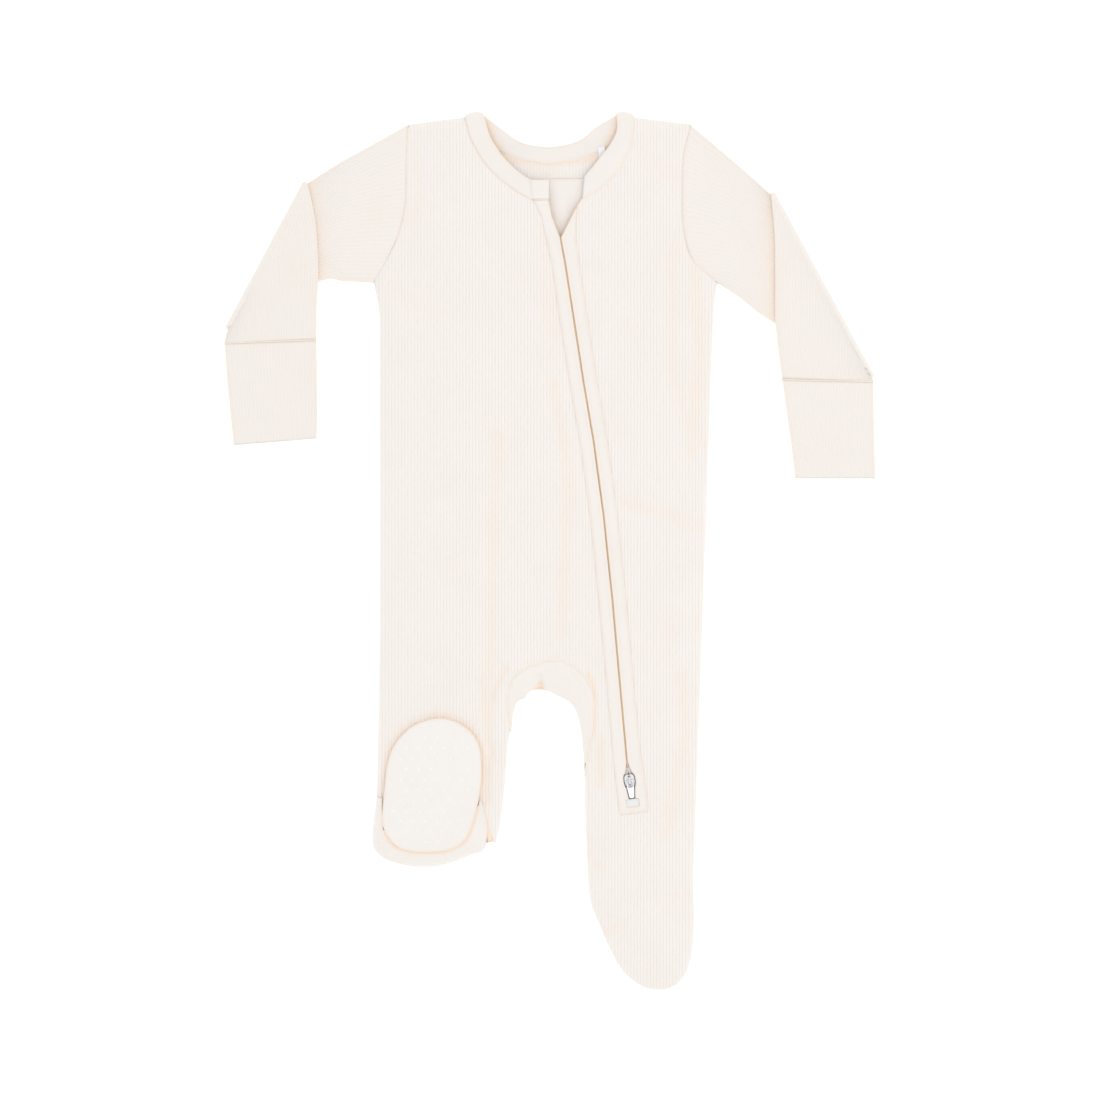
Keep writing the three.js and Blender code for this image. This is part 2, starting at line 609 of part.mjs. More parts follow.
// One section of a flat tube: `place` gives a point from its share across and its offset
function tubeRing({ line, width, place, ribsUpper, ribsUnder }) {
  const roundAt = (s) => {
    const inward = Math.min(s, 1 - s) * width;
    return Math.sqrt(1 - (1 - Math.min(inward / TUBE_HALF, 1)) ** 2);
  };
  const ribbed = (count) => Array.from({ length: 2 * count + 1 }, (_, i) => i / (2 * count));
  const outer = (side, ribs) =>
    (ribs ? ribbed(ribs) : PLAIN_STOPS).map((s, i) => {
      const relief = ribs && i % 2 ? RIB_RELIEF : 0;
      return { s, p: place(line(s), side * (TUBE_HALF + relief) * roundAt(s)) };
    });
  const inner = (side) =>
    INNER_STOPS.map((s, i) => {
      const margin = TUBE_WALL / width;
      const ends = i === 0 || i === INNER_STOPS.length - 1;
      const offset = ends ? 0 : side * (TUBE_HALF - TUBE_WALL);
      return { s, p: place(line(margin + s * (1 - 2 * margin)), offset) };
    });
  return {
    upper: outer(1, ribsUpper),
    under: outer(-1, ribsUnder),
    innerUpper: inner(1),
    innerUnder: inner(-1),
  };
}

function straightRing(row, turn, out, height, ribsUpper, ribsUnder) {
  const a = at(...row.shoulder);
  const b = at(...row.underarm);
  const face = new THREE.Vector3(-out.x * Math.sin(turn), -out.y * Math.sin(turn), Math.cos(turn));
  const reach = out.clone().multiplyScalar(ELBOW_RADIUS * Math.sin(turn));
  const place = (p, offset) => new THREE.Vector3(p.x, p.y, height).addScaledVector(face, offset);
  const line = (s) => a.clone().lerp(b, s).add(reach);
  return tubeRing({ line, width: a.distanceTo(b), place, ribsUpper, ribsUnder });
}

function sleeve(table) {
  const curve = armholeCurve(table.armhole);
  const elbow = table.elbow;
  const crease = at(...elbow.underarm).sub(at(...elbow.shoulder)).normalize();
  const out = at(crease.y, -crease.x);
  if (out.x * elbow.shoulder[0] < 0) out.negate();
  const flat = (p, offset) => new THREE.Vector3(p.x, p.y, TUBE_HALF + offset);
  const rings = [
    tubeRing({
      line: (s) => curve.getPointAt(s), width: curve.getLength(), place: flat,
      ribsUpper: SLEEVE_RIBS, ribsUnder: 0,
    }),
  ];
  for (const row of [...table.upperArm, elbow])
    rings.push(straightRing(row, 0, out, TUBE_HALF, SLEEVE_RIBS, 0));
  for (const degrees of [45, 90, 135, 180]) {
    const turn = THREE.MathUtils.degToRad(degrees);
    const height = TUBE_HALF + ELBOW_RADIUS * (1 - Math.cos(turn));
    const ribsUnder = degrees > 45 ? SLEEVE_RIBS : 0;
    rings.push(straightRing(elbow, turn, out, height, 0, ribsUnder));
  }
  for (const row of table.forearm) rings.push(straightRing(row, Math.PI, out, row.height, 0, SLEEVE_RIBS));
  return tubeBetween(rings);
}

function cuff(table) {
  const out = at(0, 0);
  return tubeBetween(table.cuff.map((row) => straightRing(row, Math.PI, out, row.height, 0, CUFF_RIBS)));
}

// Turned-up right foot: its sole, the folded layers under it and the heel wrapped up round it
const SOLE_POINTS = [
  [-69.9, -108.6], [-56, -113.6], [-47.5, -123], [-44.7, -134], [-44.6, -147], [-46, -160], [-48.6, -172],
  [-53.2, -184.8], [-60, -192], [-70, -195.4], [-81, -196], [-92.6, -195], [-100.6, -191.6], [-106, -185],
  [-109.2, -177], [-108.8, -168], [-107.6, -155.7], [-106, -141], [-102.4, -128.6], [-94.6, -118],
  [-84.2, -111.2],
];

function closedLine(points, steps) {
  const curve = new THREE.CatmullRomCurve3(points.map(([x, y]) => new THREE.Vector3(x, y, 0)), true);
  return curve.getSpacedPoints(steps).slice(0, -1).map((p) => at(p.x, p.y));
}

const SOLE_LINE = closedLine(SOLE_POINTS, 44);
const SOLE_LOOP = [...SOLE_LINE, SOLE_LINE[0]];
const soleUnder = (x, y) => SOLE_EDGE + SOLE_CROWN * ease(distanceToLine(x, y, SOLE_LOOP) / SOLE_RUN);
const SOLE_ROWS = evenly(-196, -108, 6);

function soleRight() {
  const upper = (x, y) => soleUnder(x, y) + CLOTH;
  return clothPiece(SOLE_LINE, SOLE_ROWS, PLAIN_COLUMN, upper, soleUnder);
}

function footUpperRight() {
  const middle = at(-77, -152);
  const outline = SOLE_LINE.map((p) => p.clone().sub(middle).multiplyScalar(0.95).add(middle));
  const upper = (x, y) => soleUnder(x, y) - 2 * SEAM_GAP;
  return clothPiece(outline, SOLE_ROWS, PLAIN_COLUMN, upper, () => FOOT_FROM);
}

const HEEL_ROWS = [
  { outer: [-113.1, -164], inner: [-110, -165.2], base: 0 },
  { outer: [-114.2, -173], inner: [-110.1, -173], base: 0 },
  { outer: [-115.6, -184], inner: [-109, -181.5], base: 0 },
  { outer: [-114.8, -193.4], inner: [-105.4, -187.4], base: 0 },
  { outer: [-108.6, -199.8], inner: [-101.4, -192.4], base: 0 },
  { outer: [-99, -203.5], inner: [-94, -195.4], base: 0 },
  { outer: [-87.4, -205.5], inner: [-84.5, -196.5], base: 0 },
  { outer: [-73, -205.1], inner: [-74, -196.5], base: 0 },
  { outer: [-61, -201.8], inner: [-65.6, -195], base: 0 },
  { outer: [-51, -197.8], inner: [-58.4, -191.6], base: 0 },
  { outer: [-43, -194.2], inner: [-52.6, -184.8], base: 1.6 },
  { outer: [-40.6, -182], inner: [-48.4, -173.4], base: 4.1 },
  { outer: [-42, -171.5], inner: [-46.5, -166], base: 4.1 },
];
const HEEL_STOPS = [0, 0.2, 0.4, 0.6, 0.8, 1];

function heelRight() {
  const lineOf = (row, inset) =>
    HEEL_STOPS.map((s) => {
      const outer = at(...row.outer);
      const inner = at(...row.inner).lerp(outer, 0.04);
      const swing = (s * Math.PI) / 2;
      const across = outer.distanceTo(inner);
      const share = (across - inset) / across;
      const p = inner.clone().lerp(outer, share * Math.cos(swing));
      const height = row.base + (HEEL_TOP - row.base - inset) * Math.sin(swing);
      return { s, p: new THREE.Vector3(p.x, p.y, height) };
    });
  const outerFace = HEEL_ROWS.map((row) => lineOf(row, 0));
  const innerFace = HEEL_ROWS.map((row) => lineOf(row, CLOTH));
  return wallBetween(outerFace, innerFace);
}

function soleLeft() {
  const outline = [at(24.4, -204.9), at(93.6, -204.9), ...TOE_LEFT.slice(1, -1)];
  return slab(outline, 0, CLOTH);
}

function careLabel() {
  const outline = plan([[30.6, 262.6], [35.6, 264.2], [37.6, 255], [32.4, 253.6]]);
  return slab(outline, BACK_TOP + SEAM_GAP, BACK_TOP + SEAM_GAP + 0.5);
}

function placeAtSlider(mesh, height) {
  mesh.position.set(SLIDER_AT.x, SLIDER_AT.y, height);
  mesh.rotation.z = SLIDER_AT.tilt;
}

addPiece("back", slab(backOutline(), 0, CLOTH), CREAM);
addPiece("front", front(), CREAM);
addPiece("sleeve_right", sleeve(SLEEVE_RIGHT), CREAM);
addPiece("sleeve_left", sleeve(SLEEVE_LEFT), CREAM);
addPiece("cuff_right", cuff(SLEEVE_RIGHT), CREAM);
addPiece("cuff_left", cuff(SLEEVE_LEFT), CREAM);
addPiece("neckband", neckband(), CREAM);
addPiece("chin_tab", chinTab(), CREAM);
addPiece("zip_facing", zipFacing(), CREAM);
addPiece("zip_guard", zipGuard(), PALE);
addPiece("zip_tape_right", zipTape(-1, NECK_GAP_RIGHT), PALE);
addPiece("zip_tape_left", zipTape(1, NECK_GAP_LEFT.toReversed()), PALE);
placeAtSlider(addPiece("zip_slider", zipSlider(), NICKEL, 0.3, 1), 0);
placeAtSlider(addPiece("zip_pull", zipPull(), NICKEL, 0.3, 1), PIVOT_HEIGHT);
addPiece("zip_film", zipFilm(), WHITE, 0.5);
addPiece("crotch_gusset", crotchGusset(), CREAM);
addPiece("sole_right", soleRight(), PALE);
addPiece("foot_upper_right", footUpperRight(), CREAM);
addPiece("heel_right", heelRight(), CREAM);
addPiece("sole_left", soleLeft(), PALE);
addPiece("care_label", careLabel(), WHITE, 0.7);

// The part's origin is the middle of its underside
const box = new THREE.Box3().setFromObject(suit);
suit.position.set(-(box.min.x + box.max.x) / 2, -(box.min.y + box.max.y) / 2, -box.min.z);

export default suit;
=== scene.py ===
# Footed baby sleepsuit in cream rib knit, laid flat with its right foot turned up.
# Right and left are the wearer's. Tables are in millimetres, in the pattern's own frame.
import math

import bmesh
import bpy
import numpy as np
from mathutils import Matrix, Vector


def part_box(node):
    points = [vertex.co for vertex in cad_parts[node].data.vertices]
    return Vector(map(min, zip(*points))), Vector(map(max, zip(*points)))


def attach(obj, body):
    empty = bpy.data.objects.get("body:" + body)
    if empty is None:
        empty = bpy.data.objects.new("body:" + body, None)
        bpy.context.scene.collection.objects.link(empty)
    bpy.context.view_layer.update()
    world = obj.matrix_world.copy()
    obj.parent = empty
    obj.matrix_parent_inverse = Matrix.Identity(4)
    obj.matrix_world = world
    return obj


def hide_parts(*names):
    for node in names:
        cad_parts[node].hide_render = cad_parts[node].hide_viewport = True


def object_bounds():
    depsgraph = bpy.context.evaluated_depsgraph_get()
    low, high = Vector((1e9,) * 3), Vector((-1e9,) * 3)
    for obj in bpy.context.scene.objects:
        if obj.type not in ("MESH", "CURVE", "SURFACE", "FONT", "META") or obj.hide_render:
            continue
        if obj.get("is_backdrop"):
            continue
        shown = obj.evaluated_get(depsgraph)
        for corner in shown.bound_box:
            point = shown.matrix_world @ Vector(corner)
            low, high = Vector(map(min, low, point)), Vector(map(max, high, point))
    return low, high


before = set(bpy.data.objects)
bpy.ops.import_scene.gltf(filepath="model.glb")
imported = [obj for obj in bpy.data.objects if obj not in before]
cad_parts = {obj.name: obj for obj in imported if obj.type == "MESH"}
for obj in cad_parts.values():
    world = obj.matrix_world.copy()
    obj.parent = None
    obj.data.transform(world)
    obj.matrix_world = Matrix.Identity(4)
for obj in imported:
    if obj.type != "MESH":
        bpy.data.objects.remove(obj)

CAD_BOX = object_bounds()
MM = 0.001

# The zip guard's corner says how far the pattern's frame lies from the part's
GUARD_CORNER = (-15.0, 242.4)
guard_low, guard_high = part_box("zip_guard")
PATTERN_SHIFT = np.array([guard_low.x / MM - GUARD_CORNER[0], guard_high.y / MM - GUARD_CORNER[1], 0])

# Cloth
CLOTH = 1.2
SHELL = 0.9
SEAM_GAP = 0.3
RIB_PITCH = 2.1
RIB_RELIEF = 0.35
SLEEVE_RELIEF = 0.2
RIB_PHASES = (0, 0.16, 0.5, 0.84)
RIB_HEIGHTS = (0, 0.72, 1, 0.72, 0)
JERSEY_PITCH = 0.95
EDGE_MARGINS = (0.35, 0.75)
FRONT_STEP = 4.5
BACK_STEP = 9

# Edges that turn down or up: how far in the turn starts, and how deep it goes
OUTER_TURN = (2.2, 1.3)
UNDER_TURN = (1.1, 1.1)
HEM_TURN = (1.5, 0.8)
SLIT_TURN = (0.5, 0.35)

# Creases fade out near the sewn edges and are shaded in their troughs
CREASE_FADE = 8
CREASE_STEPS = 8
TROUGH_SHARE = 0.85
TROUGH_SHADE = 0.2
GROOVE_REACH = 1.1

# Layers of the body
BACK_TOP = CLOTH
LOFT = 2.8
LOFT_RUN = 24
PRESSED_LOFT = 0.3
PRESS_START = -84
PRESS_RUN = 24
PRESSED_SIDE = -10
GUARD_TOP = 2.5
TAPE_TOP = 3.8
FACING_RISE = 0.85
FACING_WALL = 0.8
FILM_RISE = 2.1
CHIN_TAB_TOP = 6.0
LABEL_TOP = 2.0

# Sleeves and cuffs are tubes pressed flat
TUBE_HALF = 1.3
ELBOW_RADIUS = 1.75
SLEEVE_RIBS = 34
SLEEVE_WIDTH = 90
CUFF_RIBS = 29
CUFF_WIDTH = 58
CUFF_LEVEL = 4.5
PINCH_SHARE = 0.45
PINCH_REACH = 1.3
FAR_FROM_SEAM = 100
FOLD_SHADE_REACH = 4.5
EDGE_CLUSTER = (0.05, 0.22, 0.55)

# Zip
SLIT_HALF = 0.8
SLIDER_PLACE = (51.7, -149.2)
SLIDER_TILT = math.radians(8)
PIVOT_HEIGHT = 6.4
LOWER_PLATE_TOP = 2.5
COIL_HALF = (0.21, 0.56, 0.7)
COIL_RISE = 0.75
COIL_TURNS = 342
STITCH = {"length": 2.1, "gap": 0.9, "radius": 0.2}
STITCH_RISE = 0.97

# Windows round the slider: half width, and place along the zip
WINDOW = [(0.8, 10), (5, 7), (5, -16.8), (3.8, -18)]
FACING_SLIT = 0.38
FACING_WINDOW = [
    (0.38, 12), (1.1, 8.5), (2.2, 5.3), (3.2, 3.9), (3.72, 2.2), (3.8, 0), (3.5, -3), (2.7, -5),
    (2.4, -8), (2.15, -10.8), (2.1, -11.8), (4.2, -12.4), (4.2, -16.4), (3.2, -17.3),
]

# The facing's foot and the tapes' inner edge, across and along the zip at the slider
TAPE_WIDTH = 7.4
TAPE_FOOT = [(0.06, 10), (0.06, 5.0), (0.65, 4.1), (0.65, -20)]
FACING_FOOT = [(10, -4), (9.6, -20), (8.6, -21.5), (-8, -21.5), (-9.5, -20), (-9.3, -4)]

# Slider and pull, drawn about the pull's pivot
SLIDER = {
    "half_wide": 3.6, "tip": 4.3, "plate": 0.8, "bridge_half": 0.8,
    "bridge_reach": 3.2, "bridge_thick": 0.8,
}
PULL = {
    "bar": 0.45, "opening": 1.4, "arm": 2.35, "opening_end": 4.3,
    "shoulder": 5.1, "length": 11.6, "half": 0.5,
}

# Turned-up foot
SOLE_EDGE = 6.5
SOLE_CROWN = 0.9
SOLE_RUN = 14
HEEL_TOP = 7.9
HEEL_COLUMNS = 96
HEEL_STEPS = 15
HEEL_UNDER = (3.3, 1.7)
GRIP_PITCH = 8.0
GRIP_RADIUS = 1.0
GRIP_HEIGHT = 0.28
GRIP_EDGE = 6.5

# Side of the turned-up foot: how far out from the sole's line it stands at each height
FOOT_SIDE = [
    {"out": -6.0, "height": 4.3}, {"out": -1.6, "height": 4.35}, {"out": -0.4, "height": 4.7},
    {"out": 0.1, "height": 5.4}, {"out": 0.1, "height": 6.1}, {"out": -0.4, "height": 6.7},
    {"out": -1.4, "height": 6.9}, {"out": -6.0, "height": 7.0},
]

# Heel cloth: its lower edge and its edge on the sole, with their heights
HEEL_ROWS = [
    {"outer": (-112.8, -160), "inner": (-108.9, -160.4), "base": 0, "top": 5.0},
    {"outer": (-114.2, -171), "inner": (-108.9, -171), "base": 0, "top": 7.7},
    {"outer": (-115.6, -184), "inner": (-108.2, -181.2), "base": 0},
    {"outer": (-114.8, -193.4), "inner": (-104.8, -187.2), "base": 0},
    {"outer": (-108.6, -199.8), "inner": (-100.9, -191.8), "base": 0},
    {"outer": (-99, -203.5), "inner": (-93.6, -195), "base": 0},
    {"outer": (-87.4, -205.5), "inner": (-84.3, -196.1), "base": 0},
    {"outer": (-73, -205.1), "inner": (-74, -196.1), "base": 0},
    {"outer": (-61, -201.8), "inner": (-65.8, -194.6), "base": 0},
    {"outer": (-51, -197.8), "inner": (-58.9, -191.2), "base": 0},
    {"outer": (-43, -194.2), "inner": (-53.0, -184.6), "base": 1.6},
    {"outer": (-40.6, -182), "inner": (-48.9, -173.3), "base": 3.9},
    {"outer": (-42, -171.5), "inner": (-46.6, -165.6), "base": 3.9},
    {"outer": (-43.8, -165), "inner": (-45.8, -161), "base": 3.9, "top": 6.6},
]

# Threads in the seams: how far they lie below the front's top or above the floor, and their radius
THREAD_SINK = 0.35
ARMHOLE_SINK = 0.7
UNDER_THREAD = 0.75
THREAD_RADIUS = 0.5
CORD_STEP = 1.5

# Camera: straight overhead, with the picture's width on the cloth
PICTURE_WIDTH = 0.715
PICTURE_CENTRE = (0, 0.65)
CAMERA_HEIGHT = 3.0
CLOTH_MIDDLE = 0.005
SENSOR = 36.0

# Floor and light, in metres
FLOOR_SIZE = 4
FLOOR_DROP = 0.0002
FLOOR_GLOW = 0.3
SKY_STRENGTH = 0.93
LAMP_SIZE = 1.2
LAMP_ENERGY = 2.8
LAMP_PLACE = (0.3, 0.1, 1.4)


# Lines in plan
def curve_at(corners, shares):
    """Points of a smooth curve through the corners, at shares of its length in corners."""
    corners = np.asarray(corners, float)
    last = len(corners) - 1
    place = np.clip(np.asarray(shares, float), 0, 1) * last
    first = np.minimum(place.astype(int), last - 1)
    before, start, end, after = (corners[np.clip(first + step, 0, last)] for step in (-1, 0, 1, 2))
    w = (place - first).reshape([-1] + [1] * (corners.ndim - 1))
    leave, arrive = (end - before) / 2, (after - start) / 2
    cubic = 2 * (start - end) + leave + arrive
    square = 3 * (end - start) - 2 * leave - arrive
    return ((cubic * w + square) * w + leave) * w + start


def rounded(corners, steps):
    return curve_at(corners, np.linspace(0, 1, steps + 1))


def evenly_spaced(line, count):
    """The line's points again, at even distances along it."""
    line = np.asarray(line, float)
    run = np.concatenate([[0], np.cumsum(np.hypot(*np.diff(line, axis=0).T))])
    wanted = np.linspace(0, run[-1], count + 1)
    return np.stack([np.interp(wanted, run, line[:, k]) for k in (0, 1)], axis=1)


def ease(share):
    return 1 - (1 - np.clip(share, 0, 1)) ** 2


def distance_to(places, line):
    """How far each place in plan is from a line of points."""
    places, line = np.asarray(places, float), np.asarray(line, float)
    nearest = np.full(len(places), np.inf)
    for a, b in zip(line[:-1], line[1:]):
        run = b - a
        if run @ run < 1e-9:
            continue
        share = np.clip((places - a) @ run / (run @ run), 0, 1)
        off = places - a - share[:, None] * run
        nearest = np.minimum(nearest, np.hypot(off[:, 0], off[:, 1]))
    return nearest


def closed(line):
    return np.vstack([line, line[:1]])


def ring_line(corners, steps):
    """A smooth closed line through the corners."""
    ring = [corners[-1], *corners, corners[0], corners[1]]
    place = 1 + len(corners) * np.arange(steps) / steps
    return evenly_spaced(closed(curve_at(ring, place / (len(ring) - 1))), steps)[:-1]


# Sewn edges of the body, seen from above
SHOULDER_RIGHT = [(-41, 284.4), (-55.6, 282.4), (-92, 277.6)]
SHOULDER_LEFT = [(41, 284.4), (54.9, 282.4), (91.3, 277.6)]
ARMHOLE_RIGHT = [(-92, 277.6), (-93, 252), (-93.6, 226), (-98.5, 205), (-106, 189), (-114.7, 174.5)]
ARMHOLE_LEFT = [(91.3, 277.6), (86.3, 258), (85.3, 232), (86.3, 209), (92.5, 189), (108.9, 174.5)]
SIDE_RIGHT = rounded(
    [(-114.7, 174.5), (-112.6, 164), (-110.9, 150), (-110.8, 97.8), (-110.8, -32.2), (-111.5, -97.2),
     (-112.6, -158)],
    16,
)
SIDE_LEFT = rounded(
    [(108.9, 174.5), (107, 163), (106, 143.3), (104.3, 97.8), (99.8, -32.2), (97.5, -97.2), (93.6, -205)],
    16,
)
TOE_LEFT = rounded(
    [(93.6, -205), (93.6, -226), (93.9, -240), (92.4, -262), (87.5, -276.5), (78, -284.6), (65.3, -285.2),
     (54.5, -280), (45.8, -271.4), (38.5, -258), (31, -240.4), (26.2, -228), (24.4, -209), (24.4, -205)],
    34,
)
INSEAM_LEFT = rounded([(24.4, -205), (23.1, -181.7), (22.9, -160), (22.6, -146)], 6)
LEG_GAP = rounded(
    [(22.6, -146), (21.1, -125.8), (19.6, -114), (17, -104.5), (13, -98.6), (4.9, -94.3), (-2.9, -90.6),
     (-12, -90.8), (-16.4, -96), (-21.2, -98.4), (-23.7, -105.5), (-25.2, -117)],
    26,
)
INSEAM_RIGHT = rounded([(-25.2, -117), (-27.6, -127), (-28.9, -146.6), (-31, -168), (-34.6, -191)], 8)
HEEL_OUTLINE = rounded(
    [(-34.6, -191), (-44, -194.7), (-59.5, -201.2), (-72, -205), (-87.4, -205.5), (-100.4, -203.1),
     (-109.5, -199.2), (-114.9, -192.8), (-115.6, -184), (-114.2, -172), (-112.6, -158)],
    26,
)
SEWN_EDGES = [
    SHOULDER_RIGHT, SHOULDER_LEFT, ARMHOLE_RIGHT, ARMHOLE_LEFT, SIDE_RIGHT, SIDE_LEFT,
    TOE_LEFT, INSEAM_LEFT, LEG_GAP, INSEAM_RIGHT, HEEL_OUTLINE,
]
CROTCH_SEAM = rounded(
    [(22.6, -146), (26.3, -124.5), (28, -108.2), (27.2, -92), (21.4, -80.3), (10.7, -72.6), (-1, -71.4),
     (-12, -75), (-23.7, -82.2), (-27.4, -94), (-27.4, -105), (-25.2, -117)],
    26,
)
OUTER_EDGES = [
    SHOULDER_RIGHT, SHOULDER_LEFT, SIDE_RIGHT, SIDE_LEFT, TOE_LEFT, INSEAM_LEFT, LEG_GAP, INSEAM_RIGHT,
]

# Neckband edges
BAND_FRONT_RIGHT = {
    "inner": [(-13.2, 241.8), (-21.8, 247.8), (-30.9, 257.1), (-38.7, 269.4), (-43, 283.6)],
    "outer": [(-11.2, 228.3), (-24.5, 236), (-39.5, 249), (-50.5, 266), (-55.3, 282.3)],
}
BAND_BACK = {
    "inner": [(-43, 283.6), (-31, 274.4), (-18, 265.8), (-0.3, 263.2), (18, 266.8), (29.5, 275.6),
              (43, 283.6)],
    "outer": [(-55.3, 282.3), (-46, 268.5), (-33, 259.8), (-0.3, 251.9), (32, 259.8), (45, 268.5),
              (54.6, 282.3)],
}
BAND_FRONT_LEFT = {
    "inner": [(43, 283.6), (43.4, 274), (39.3, 264.9), (32.6, 256), (22.2, 243.2)],
    "outer": [(54.6, 282.3), (52.6, 266.5), (46.5, 251), (35.5, 238.6), (20.9, 229.3)],
}
BAND_STEPS = 12
BAND_HUMP = 1.4
NECK_SEAMS = [rounded(band["outer"], BAND_STEPS) for band in (BAND_FRONT_RIGHT, BAND_BACK, BAND_FRONT_LEFT)]
NECK_AND_CROTCH = [NECK_SEAMS[0], NECK_SEAMS[2], CROTCH_SEAM]
ARMHOLES = [ARMHOLE_RIGHT, ARMHOLE_LEFT]
FRONT_NECK_EDGES = [rounded(band["inner"], BAND_STEPS) for band in (BAND_FRONT_RIGHT, BAND_FRONT_LEFT)]

# Inner edge of the back at the heel, the fold at the leg's end, the gusset's dent, and the sole
HEEL_INWARD = [
    (-37, -188.5), (-44, -191), (-59.5, -197.6), (-72, -201.4), (-87.4, -202), (-99, -199.8),
    (-107, -196.2),
    (-111.2, -191), (-112, -184), (-110.6, -172), (-109.4, -163),
]
LEG_END_FOLD = rounded([(-44.4, -164), (-43.2, -170), (-41.4, -177), (-38.8, -189.2)], 16)
GUSSET_WEDGE = [(-11.4, -91.4), (-2.6, -90.8), (-5.8, -82.9)]
SOLE_CORNERS = [
    (-69.9, -108.6), (-56, -113.6), (-47.5, -123), (-44.7, -134), (-44.6, -147), (-46, -160), (-48.6, -172),
    (-53.2, -184.8), (-60, -192), (-70, -195.4), (-81, -196), (-92.6, -195), (-100.6, -191.6), (-106, -185),
    (-109.2, -177), (-108.8, -168), (-107.6, -155.7), (-106, -141), (-102.4, -128.6), (-94.6, -118),
    (-84.2, -111.2),
]
SOLE_LINE = ring_line(SOLE_CORNERS, 96)
SOLE_CREASES = [
    {"line": [(-98, -140), (-94, -160), (-97, -178)], "reach": 5, "lift": -0.35},
    {"line": [(-60, -150), (-58, -168), (-64, -184)], "reach": 5, "lift": -0.4},
    {"line": [(-80, -116), (-72, -124), (-60, -126)], "reach": 6, "lift": 0.3},
    {"line": [(-84, -150), (-76, -160), (-80, -176)], "reach": 8, "lift": 0.35},
]

# Zip line: its x and the facing's outer edges at each y
ZIP_ROWS = [
    {"y": 203.8, "zip": 6.8, "left": -2.8, "right": 17.0},
    {"y": 185.6, "zip": 10.1, "left": 1.2, "right": 19.4},
    {"y": 156.3, "zip": 14.6, "left": 5.4, "right": 23.7},
    {"y": 109.5, "zip": 21.8, "left": 12.6, "right": 30.9},
    {"y": 71.8, "zip": 28.3, "left": 19.2, "right": 37.4},
    {"y": 23.7, "zip": 34.8, "left": 25.8, "right": 43.9},
    {"y": -32.2, "zip": 40.6, "left": 31.6, "right": 49.7},
    {"y": -90.7, "zip": 45.8, "left": 37.0, "right": 54.9},
    {"y": -136, "zip": 49.9, "left": 41.0, "right": 59.5},
]
NECK_GAP_RIGHT = [(-0.8, 228.2), (1.4, 217.4)]
NECK_GAP_LEFT = [(12, 213.5), (16.6, 222.6), (20.5, 229.1)]

# Creases: the line each follows, its half width, and its lift above the cloth round it
FRONT_CREASES = [
    {"line": [(2.3, 108), (10.7, 54.3), (10.7, 28.3), (8.1, -51.7)], "reach": 5, "lift": -0.7},
    {"line": [(-5, 110), (0, 54), (0, 0), (-3, -50)], "reach": 7, "lift": 0.5},
    {"line": [(-34.1, 75), (-37, 0), (-40, -97.2)], "reach": 5.5, "lift": -0.7},
    {"line": [(-47, 60), (-50, -20), (-52, -92)], "reach": 8, "lift": 0.35},
    {"line": [(-4, 225), (-1, 180), (3, 140)], "reach": 9, "lift": -0.45},
    {"line": [(80.3, 197.3), (79.6, 112.8), (101.7, 68.6)], "reach": 5.5, "lift": -0.6},
    {"line": [(87, 190), (86, 120), (95, 80)], "reach": 5, "lift": 0.6},
    {"line": [(94, 186), (96.5, 123), (91.3, 64)], "reach": 4.5, "lift": -0.8},
    {"line": [(47.1, 32.2), (75, 24), (99.1, 15.9)], "reach": 5, "lift": -0.6},
    {"line": [(60, 38), (80, 33), (98, 27)], "reach": 6, "lift": 0.4},
    {"line": [(79, -45.2), (75.7, -66.6)], "reach": 6, "lift": -0.4},
    {"line": [(84.2, -81.6), (87.4, -119.3), (82, -150), (74.4, -184.9)], "reach": 5.5, "lift": -0.7},
    {"line": [(76, -90), (78, -120), (70, -165)], "reach": 7, "lift": 0.4},
    {"line": [(25, -81), (28.3, -88), (28.8, -95)], "reach": 1.5, "lift": -0.5, "shade": 0.55},
    {"line": [(29, -92), (29.2, -104), (28.4, -120)], "reach": 2, "lift": -0.5, "shade": 0.28},
    {"line": [(35, -74), (34.5, -92), (34, -124)], "reach": 3, "lift": 0.45},
    {"line": [(33.4, -122), (32.6, -136), (32.9, -152)], "reach": 2.4, "lift": -0.7, "shade": 0.25},
    {"line": [(-28, -76), (-31, -80.5), (-37.4, -94)], "reach": 1.4, "lift": -0.7, "shade": 0.34},
    {"line": [(-37, -92), (-39.4, -104), (-38.6, -112)], "reach": 2.2, "lift": -0.7, "shade": 0.2},
    {
        "line": [(-44.6, -84), (-42.2, -100), (-41, -115), (-38.4, -130)], "reach": 2.6, "lift": -0.8,
        "shade": 0.24,
    },
    {"line": [(-38.6, -128), (-40.4, -146), (-41, -164)], "reach": 2.6, "lift": -0.7, "shade": 0.24},
    {"line": [(-30, -70), (-43, -82), (-48, -104), (-46, -126)], "reach": 4, "lift": 0.35},
    {"line": [(23, -199.9), (29, -202), (34, -207)], "reach": 2.4, "lift": -0.7},
    {"line": [(33, -247), (40, -246), (48, -242.8)], "reach": 2.6, "lift": -0.7},
    {"line": [(88, -222), (80, -226), (70, -227)], "reach": 4, "lift": -0.35},
    {"line": [(52, 268), (70, 250), (86, 243)], "reach": 7, "lift": -0.4},
    {"line": [(-88, 262), (-86, 230), (-92, 205)], "reach": 6, "lift": -0.35},
    {"line": [(-100, 172), (-90, 160), (-76, 152)], "reach": 5, "lift": -0.4},
]
GUSSET_CREASES = [
    {"line": [(-6.5, -81), (-5.5, -86), (-6.5, -92)], "reach": 1.6, "lift": -0.9},
    {"line": [(-14, -78), (-17, -86), (-19, -96)], "reach": 3, "lift": 0.4},
    {"line": [(4, -75), (12, -82), (20, -96), (24, -118)], "reach": 3, "lift": 0.35},
    {"line": [(10, -76), (18, -84), (24.5, -100), (24.6, -125)], "reach": 1.8, "lift": -0.4},
]
